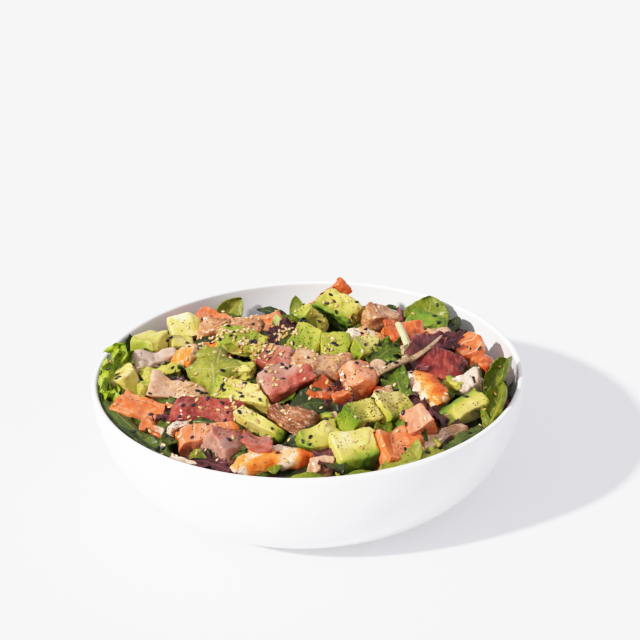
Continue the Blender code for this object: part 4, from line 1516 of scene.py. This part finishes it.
# %% [markdown]
# ### Stalks
#
# A few thick stalks stick out: a pale stem standing up, the beige rib of the red leaf
# that forks, and a red stem by the right wall. A stalk is an oval carried along a
# line, closed at both ends.

# %% Stalk shape
STALK_RINGS = 22
STALK_SIDES = 14
STALK_STREAK = 4.0


def stalk(base, middle, tip, thick, thin, flatness=1.0):
    """An oval tube along the parabola through three points, sizes in mm.

    Its radius goes evenly from thick / 2 to thin / 2, and is drawn in at both ends by the
    fourth root of 1 - (2u - 1) to the power 8. Across the curve it is flattened.
    """
    u, line, forward = middle_line(base, middle, tip, STALK_RINGS)
    side = np.cross(forward, [0.0, 0.0, 1.0])
    side /= np.linalg.norm(side, axis=1)[:, None]
    up = np.cross(side, forward)
    radius = (thick + (thin - thick) * u) / 2 * MM * np.maximum(1 - (2 * u - 1) ** 8, 0.0) ** 0.25
    around = np.linspace(0.0, 2 * np.pi, STALK_SIDES, endpoint=False)[None, :]
    ridge = 1 + 0.06 * np.sin(5 * around)
    rings = (line[:, None] + side[:, None] * (radius * ridge * np.cos(around))[..., None]
             + up[:, None] * (radius * ridge * flatness * np.sin(around))[..., None])
    return closed_tube(rings[1:-1], line[0], line[-1])


def make_stalk_finish(name, stops):
    """A leaf stalk: moist and smooth, streaked across a few millimetres."""
    material, output = new_material(name)
    place = add_node(material, "TexCoord")
    streaks = add_node(material, "TexNoise",
                       inputs={"Vector": place.outputs["Object"], "Scale": 1000 / STALK_STREAK,
                               "Detail": 3.0})
    colour = add_node(material, "ValToRGB", inputs={"Fac": streaks}, stops=stops)
    bump = add_node(material, "Bump",
                    inputs={"Height": streaks, "Strength": 0.3, "Distance": 0.0005})
    shader = add_node(material, "BsdfPrincipled",
                      inputs={"Base Color": colour, "Roughness": 0.35,
                              "Normal": bump, "Subsurface Weight": 0.15,
                              "Subsurface Scale": 0.002})
    return finished(material, output, shader)


pale_stalk = make_stalk_finish("pale leaf stalk", [(0.3, "#C9C88C"), (0.7, "#E8E2BC")])
beige_stalk = make_stalk_finish("beige leaf rib", [(0.3, "#A98A68"), (0.7, "#CDAE8C")])
red_stalk = make_stalk_finish("red leaf stalk", [(0.3, "#7A2236"), (0.7, "#B85A68")])

# name, finish, base, middle, tip, thickness at base and tip, flatness
STALKS = [
    ("pale_stem_standing", pale_stalk, (61, 1, 3), (58, 12, 9), (54, 24, 15), 5.0, 4.0, 0.8),
    ("beige_rib_left", beige_stalk, (32, -37, 7), (44, -27, 10), (60, -13, 9.5), 3.2, 5.2, 0.7),
    ("beige_rib_fork", beige_stalk, (56, -16, 8), (56, -9, 10), (55, -2, 12), 5.0, 3.0, 0.7),
    ("beige_rib_leaf", beige_stalk, (56, -16, 8.5), (68, -7, 11), (80, 13, 11), 5.0, 1.6, 0.6),
    ("red_stem_back", red_stalk, (63, 62, -11), (61, 72, -7), (60, 83, -3), 2.4, 1.8, 1.0),
    ("red_stem_right", red_stalk, (110, -47, -11), (110, -41, -6), (109, -34, -2), 4.6, 3.0, 0.9),
]
for name, finish, base, middle, tip, thick, thin, flatness in STALKS:
    make_piece(name, stalk(base, middle, tip, thick, thin, flatness), finish)
print("stalks:", len(STALKS))

# %% [markdown]
# ### Leaves between the cubes
#
# Many more leaves lie under the cubes and show in the gaps. They are scattered at random
# over the mound. To keep them from cutting through the cubes, a map of the height of
# what lies on the heap is taken first by looking straight down on a fine square grid,
# and each leaf is pressed down below it.

# %% Map of what lies on the heap
MAP_STEP = 1.5 * MM
MAP_HALF = 126 * MM
LOOK_FROM = 0.3


def height_map():
    """The height of the first surface below each point of a square grid."""
    bpy.context.view_layer.update()
    sight = bpy.context.evaluated_depsgraph_get()
    places = np.arange(-MAP_HALF, MAP_HALF + MAP_STEP, MAP_STEP)
    down = Vector((0.0, 0.0, -1.0))
    heights = np.zeros((len(places), len(places)))
    for i, x in enumerate(places):
        for j, y in enumerate(places):
            seen, spot, *_ = bpy.context.scene.ray_cast(sight, Vector((x, y, LOOK_FROM)), down)
            heights[i, j] = spot.z if seen else 0.0
    return heights


def on_map(heights, points):
    """The map's height at each point: the nearest square's."""
    i = np.clip(np.round((points[..., 0] + MAP_HALF) / MAP_STEP).astype(int), 0, len(heights) - 1)
    j = np.clip(np.round((points[..., 1] + MAP_HALF) / MAP_STEP).astype(int), 0, len(heights) - 1)
    return heights[i, j]


heap_map = height_map()
print("highest food over the rim, mm:", round((heap_map.max() - BOWL_HEIGHT) / MM, 1))

# %% [markdown]
# ### Crumbs in the gaps
#
# Cutting and tossing leaves small crumbs of fish and mashed avocado between the cubes.
# They lie wherever the map shows a gap, each a little uneven lump.

# %% Crumbs
GAP_DEPTH = 2.5 * MM
CRUMB_RADIUS = 108 * MM
CRUMB_STEPS = 9
AVOCADO_CRUMBS, WHITE_FISH_CRUMBS, SALMON_CRUMBS = 34, 34, 14


def random_spot(rng, radius, least=0.0):
    """A place on a disc, evenly spread: its distance is the radius times a root."""
    reach = radius * math.sqrt(rng.uniform(least, 1.0))
    around = rng.uniform(0.0, 2 * math.pi)
    return reach * math.cos(around), reach * math.sin(around)


def crumbs(count, seed, make_shape):
    """Lumps 4 to 9 mm across in the gaps between the cubes, as one shape."""
    rng = np.random.default_rng(seed)
    shapes = []
    while len(shapes) < count:
        x, y = random_spot(rng, CRUMB_RADIUS)
        ground = heap_height(x, y)
        if on_map(heap_map, np.array([[x, y]]))[0] > ground + GAP_DEPTH:
            continue
        place = (x / MM, y / MM, (ground - BOWL_HEIGHT) / MM + rng.uniform(0.0, 2.5))
        size = rng.uniform(4, 9, 3) * (1.0, 0.8, 0.6)
        block = loose_block(place, size, rng.uniform(0, 360), rng.uniform(-30, 30),
                            LOOSE_CRISPNESS - 2.0, CRUMB_STEPS)
        shapes.append(make_shape(block, int(rng.integers(10000))))
    return join(shapes)


make_piece("avocado_crumbs", crumbs(AVOCADO_CRUMBS, 61, lambda block, seed: avocado_shape(
    block, direction(60, 40), 0.6, 0.8, seed)), avocado_flesh)
make_piece("white_fish_crumbs", crumbs(WHITE_FISH_CRUMBS, 62, lambda block, seed: fish_shape(
    block, direction(80, 30), 3.6, 0.45, 0.5, 0.2, seed)), white_fish_flesh)
make_piece("salmon_crumbs", crumbs(SALMON_CRUMBS, 63, lambda block, seed: fish_shape(
    block, direction(80, 30), 5.0, 0.2, 0.5, 0.2, seed)), salmon_flesh)
print("crumbs:", AVOCADO_CRUMBS + WHITE_FISH_CRUMBS + SALMON_CRUMBS)

# %% Scattered leaves
# The dark scattered leaves carry painted shade in their darker green, between the cubes
SCATTERED = {"spinach": 34, "dark": 34, "bright": 10, "purple": 28, "curly": 14}
SCATTER_RADIUS = 110 * MM
UNDER_CUBE = 1.5 * MM


def scattered_leaves(kind, count, seed):
    """Leaves 14 to 30 mm long at random on the mound, under the cubes, as one shape."""
    rng = np.random.default_rng(seed)
    shapes = []
    for _ in range(count):
        x, y = random_spot(rng, SCATTER_RADIUS, 0.02)
        length = rng.uniform(14, 30)
        turn = rng.uniform(0.0, 2 * math.pi)
        half = np.array([math.cos(turn), math.sin(turn)]) * length / 2
        lift = rng.uniform(0.5, 3.5)
        height = (heap_height(x, y) - BOWL_HEIGHT) / MM + lift
        spot = np.array([x, y]) / MM
        ends = [np.append(spot - half, height - rng.uniform(1, 4)), np.append(spot, height + 1.5),
                np.append(spot + half, height + rng.uniform(-3, 3))]
        facing = (rng.uniform(-0.4, 0.4), rng.uniform(-0.5, 0.2), 1.0)
        frill = 1.8 if kind in ("curly", "purple") else 0.5
        jag = 0.25 if kind == "curly" else 0.0
        shape = blade(*ends, facing, rng.uniform(8, 15), rng.uniform(0, 3), frill, 3.0, jag,
                      seed=int(rng.integers(1000)), along=16, across=7)
        points = shape.points.copy()
        limit = on_map(heap_map, points) - UNDER_CUBE
        heap = heap_height(points[:, 0], points[:, 1])
        covered = limit > heap - CORE_DROP + 3 * MM
        points[:, 2] = np.where(covered, np.minimum(points[:, 2], limit), points[:, 2])
        shapes.append(shape._replace(points=inside_bowl(points)))
    return join(shapes)


for number, (kind, count) in enumerate(SCATTERED.items()):
    piece = make_piece(f"scattered_{kind}_leaves", scattered_leaves(kind, count, 40 + number),
                       leaf_finishes[kind], solid=False)
    thicken(piece, LEAF_THICKNESS)
print("scattered leaves:", sum(SCATTERED.values()))

# %% [markdown]
# ## Sesame and herbs
#
# Toasted white sesame, black sesame and dried green herbs were sprinkled last. Each is a
# real small mesh, so it casts its own shadow. They fall on whatever lies on top: a ray
# is dropped for each one, and the grain is laid flat on the surface that the ray meets.
# All grains of a kind are one mesh, made by stamping one small shape at every place.

# %% Sprinkling
RESTING_ON_BOWL = 0.02
RESTING_ON_LETTUCE = 0.15
CLUMP_SIZE = 9 * MM


def sprinkle(count, patches, slant, seed):
    """Places and surface normals for this many grains.

    A share of the grains falls round each patch (x, y, spread, share) with the bell
    curve's spread, and the rest falls evenly over the dish. Each ray leans from the
    vertical by a random slant. Few grains stay on the bowl itself. More of them lie in
    some spots than in others.
    """
    rng = np.random.default_rng(seed)
    bpy.context.view_layer.update()
    sight = bpy.context.evaluated_depsgraph_get()
    shares = np.array([patch[3] for patch in patches])
    spots, normals = [], []
    while len(spots) < count:
        pick = rng.uniform()
        number = int(np.searchsorted(np.cumsum(shares), pick))
        if number < len(patches):
            x, y, spread, _ = patches[number]
            x, y = rng.normal(x, spread) * MM, rng.normal(y, spread) * MM
        else:
            x, y = random_spot(rng, RIM_RADIUS - 2 * WALL)
        if math.hypot(x, y) > RIM_RADIUS - WALL:
            continue
        way = Vector((rng.normal(0, slant), rng.normal(0, slant) + slant / 2, -1.0)).normalized()
        start = Vector((x, y, BOWL_HEIGHT)) - way * (LOOK_FROM - BOWL_HEIGHT)
        seen, spot, normal, _, thing, _ = bpy.context.scene.ray_cast(sight, start, way)
        if not seen or spot.z < BOWL_HEIGHT / 2 or thing.name == "table":
            continue
        if thing.name == bowl.name and rng.uniform() > RESTING_ON_BOWL:
            continue
        if thing.name.startswith("big_lettuce") and rng.uniform() > RESTING_ON_LETTUCE:
            continue
        if unevenness(np.array([spot]), CLUMP_SIZE, seed)[0] < rng.uniform(-0.8, 0.6):
            continue
        spots.append(spot)
        normals.append(normal if normal.dot(way) < 0 else -normal)
    return np.array(spots), np.array(normals)


def stamp(grain, spots, normals, sizes, lift, seed):
    """One copy of a small shape at each spot: turned at random, its Z along the normal."""
    rng = np.random.default_rng(seed)
    turn = rng.uniform(0.0, 2 * np.pi, len(spots))
    lean = np.where(np.abs(normals[:, 2:3]) < 0.9, [[0.0, 0.0, 1.0]], [[1.0, 0.0, 0.0]])
    first = np.cross(lean, normals)
    first /= np.linalg.norm(first, axis=1)[:, None]
    second = np.cross(normals, first)
    length_way = first * np.cos(turn)[:, None] + second * np.sin(turn)[:, None]
    width_way = np.cross(normals, length_way)
    local = grain.points[None] * sizes[:, None, None]
    points = (spots[:, None] + normals[:, None] * lift
              + local[..., 0:1] * length_way[:, None] + local[..., 1:2] * width_way[:, None]
              + local[..., 2:3] * normals[:, None])
    faces = grain.faces[None] + (np.arange(len(spots)) * len(grain.points))[:, None, None]
    tint = np.repeat(rng.uniform(0.0, 1.0, len(spots)), len(grain.points))
    return Shape(points.reshape(-1, 3), faces.reshape(-1, grain.faces.shape[1]), None,
                 {"tint": tint})


print("share of the grains that stay on the bowl:", RESTING_ON_BOWL)

# %% [markdown]
# ### The shape of a sesame seed
#
# A seed is a flat drop 3.2 mm long, 1.9 mm wide and 1 mm thick, blunt at one end.

# %% Seed and flake shapes
GRAIN_RINGS = 4
GRAIN_SIDES = 7
FLAKE_CORNERS = 5
GRAIN_SPECK = 1.2


def sesame_grain(length, width, thickness):
    """A drop: its half width at share t of the length is width / 2 * sqrt(sin(pi t)) *
    (1.1 - 0.4 t), and its height is flatter by thickness / width."""
    share = np.linspace(0.0, 1.0, GRAIN_RINGS + 2)[1:-1, None]
    around = np.linspace(0.0, 2 * np.pi, GRAIN_SIDES, endpoint=False)[None, :]
    radius = width / 2 * np.sqrt(np.sin(np.pi * share)) * (1.1 - 0.4 * share)
    rings = np.stack([(share - 0.5) * length + 0 * around, radius * np.cos(around),
                      radius * np.sin(around) * thickness / width], axis=-1)
    grain = closed_tube(rings, [-length / 2, 0, 0], [length / 2, 0, 0])
    return grain._replace(faces=facing_out(grain.points, grain.faces))


def herb_flake(size, seed):
    """A crumb of dried leaf: a flat five-cornered chip with uneven corners."""
    rng = np.random.default_rng(seed)
    around = np.linspace(0.0, 2 * np.pi, FLAKE_CORNERS, endpoint=False)
    radius = size / 2 * rng.uniform(0.5, 1.2, FLAKE_CORNERS)
    ring = np.column_stack([radius * np.cos(around), 0.7 * radius * np.sin(around),
                            size * rng.uniform(-0.1, 0.1, FLAKE_CORNERS)])
    points = np.vstack([ring, [0, 0, size * 0.16], [0, 0, -size * 0.16]])
    start = np.arange(FLAKE_CORNERS)
    after = (start + 1) % FLAKE_CORNERS
    top = np.stack([start, after, np.full(FLAKE_CORNERS, FLAKE_CORNERS)], axis=1)
    low = np.stack([after, start, np.full(FLAKE_CORNERS, FLAKE_CORNERS + 1)], axis=1)
    return Shape(points, np.vstack([top, low]), None, {})


def make_grain_finish(name, stops, roughness):
    """A dry grain whose colour varies from one to the next."""
    material, output = new_material(name)
    place = add_node(material, "TexCoord")
    tint = add_node(material, "Attribute", {"attribute_name": "tint"})
    speck = add_node(material, "TexNoise",
                     inputs={"Vector": place.outputs["Object"], "Scale": 1000 / GRAIN_SPECK})
    shift = add_node(material, "Math", {"operation": "MULTIPLY_ADD"},
                     {0: speck, 1: 0.3, 2: tint.outputs["Fac"]})
    colour = add_node(material, "ValToRGB", inputs={"Fac": shift}, stops=stops)
    shader = add_node(material, "BsdfPrincipled",
                      inputs={"Base Color": colour, "Roughness": roughness})
    return finished(material, output, shader)


print("a flake has", len(herb_flake(1.0, 6).faces), "faces")

# %% Sprinkle the seeds and herbs
# Each patch: x, y and spread in mm, and its share of the grains
SEED_PATCHES = [(-30, 8, 15, 0.30), (-45, -45, 22, 0.14), (-5, -5, 14, 0.10), (-48, 20, 12, 0.08),
                (-10, 40, 16, 0.06)]
BLACK_PATCHES = [(-20, 20, 22, 0.22), (10, 10, 20, 0.14), (-50, -50, 22, 0.12)]
HERB_PATCHES = [(25, -68, 12, 0.12), (-20, 15, 25, 0.16), (45, -20, 22, 0.12), (-50, -50, 22, 0.12)]
WHITE_SESAME, BLACK_SESAME, HERB_FLAKES = 560, 310, 4200
WHITE_SEED = (3.2 * MM, 1.9 * MM, 1.0 * MM)
BLACK_SEED = (3.5 * MM, 2.1 * MM, 1.0 * MM)
FLAKE_SIZE = 1.3 * MM
SEED_SLANT, FLAKE_SLANT = 0.25, 0.45

white_grain, black_grain = sesame_grain(*WHITE_SEED), sesame_grain(*BLACK_SEED)
cream = make_grain_finish("toasted white sesame",
                          [(0.0, "#B8823F"), (0.5, "#D9AE72"), (1.0, "#EBCFA2")], 0.45)
ink = make_grain_finish("black sesame",
                        [(0.0, "#111016"), (0.7, "#1E1D26"), (1.0, "#34323C")], 0.35)
dried = make_grain_finish("dried green herbs", [(0.0, "#2A3410"), (0.4, "#4E6020"),
                                                (0.7, "#6E6A28"), (1.0, "#7A4A20")], 0.8)

rng = np.random.default_rng(77)
white_spots = sprinkle(WHITE_SESAME, SEED_PATCHES, SEED_SLANT, 1)
black_spots = sprinkle(BLACK_SESAME, BLACK_PATCHES, SEED_SLANT, 2)
herb_spots = sprinkle(HERB_FLAKES, HERB_PATCHES, FLAKE_SLANT, 3)
# name, grain, its places, finish, least size, how high its middle lies, seed
SPRINKLED = [
    ("white_sesame_seeds", white_grain, white_spots, cream, 0.85, 0.35 * MM, 4),
    ("black_sesame_seeds", black_grain, black_spots, ink, 0.8, 0.30 * MM, 5),
    ("herb_flakes", herb_flake(FLAKE_SIZE, 6), herb_spots, dried, 0.35, 0.10 * MM, 7),
]
for name, grain, spots, finish, least, lift, seed in SPRINKLED:
    sizes = rng.uniform(least, 1.1, len(spots[0]))
    make_piece(name, stamp(grain, *spots, sizes, lift, seed), finish)
print("seeds and flakes:", WHITE_SESAME + BLACK_SESAME + HERB_FLAKES)
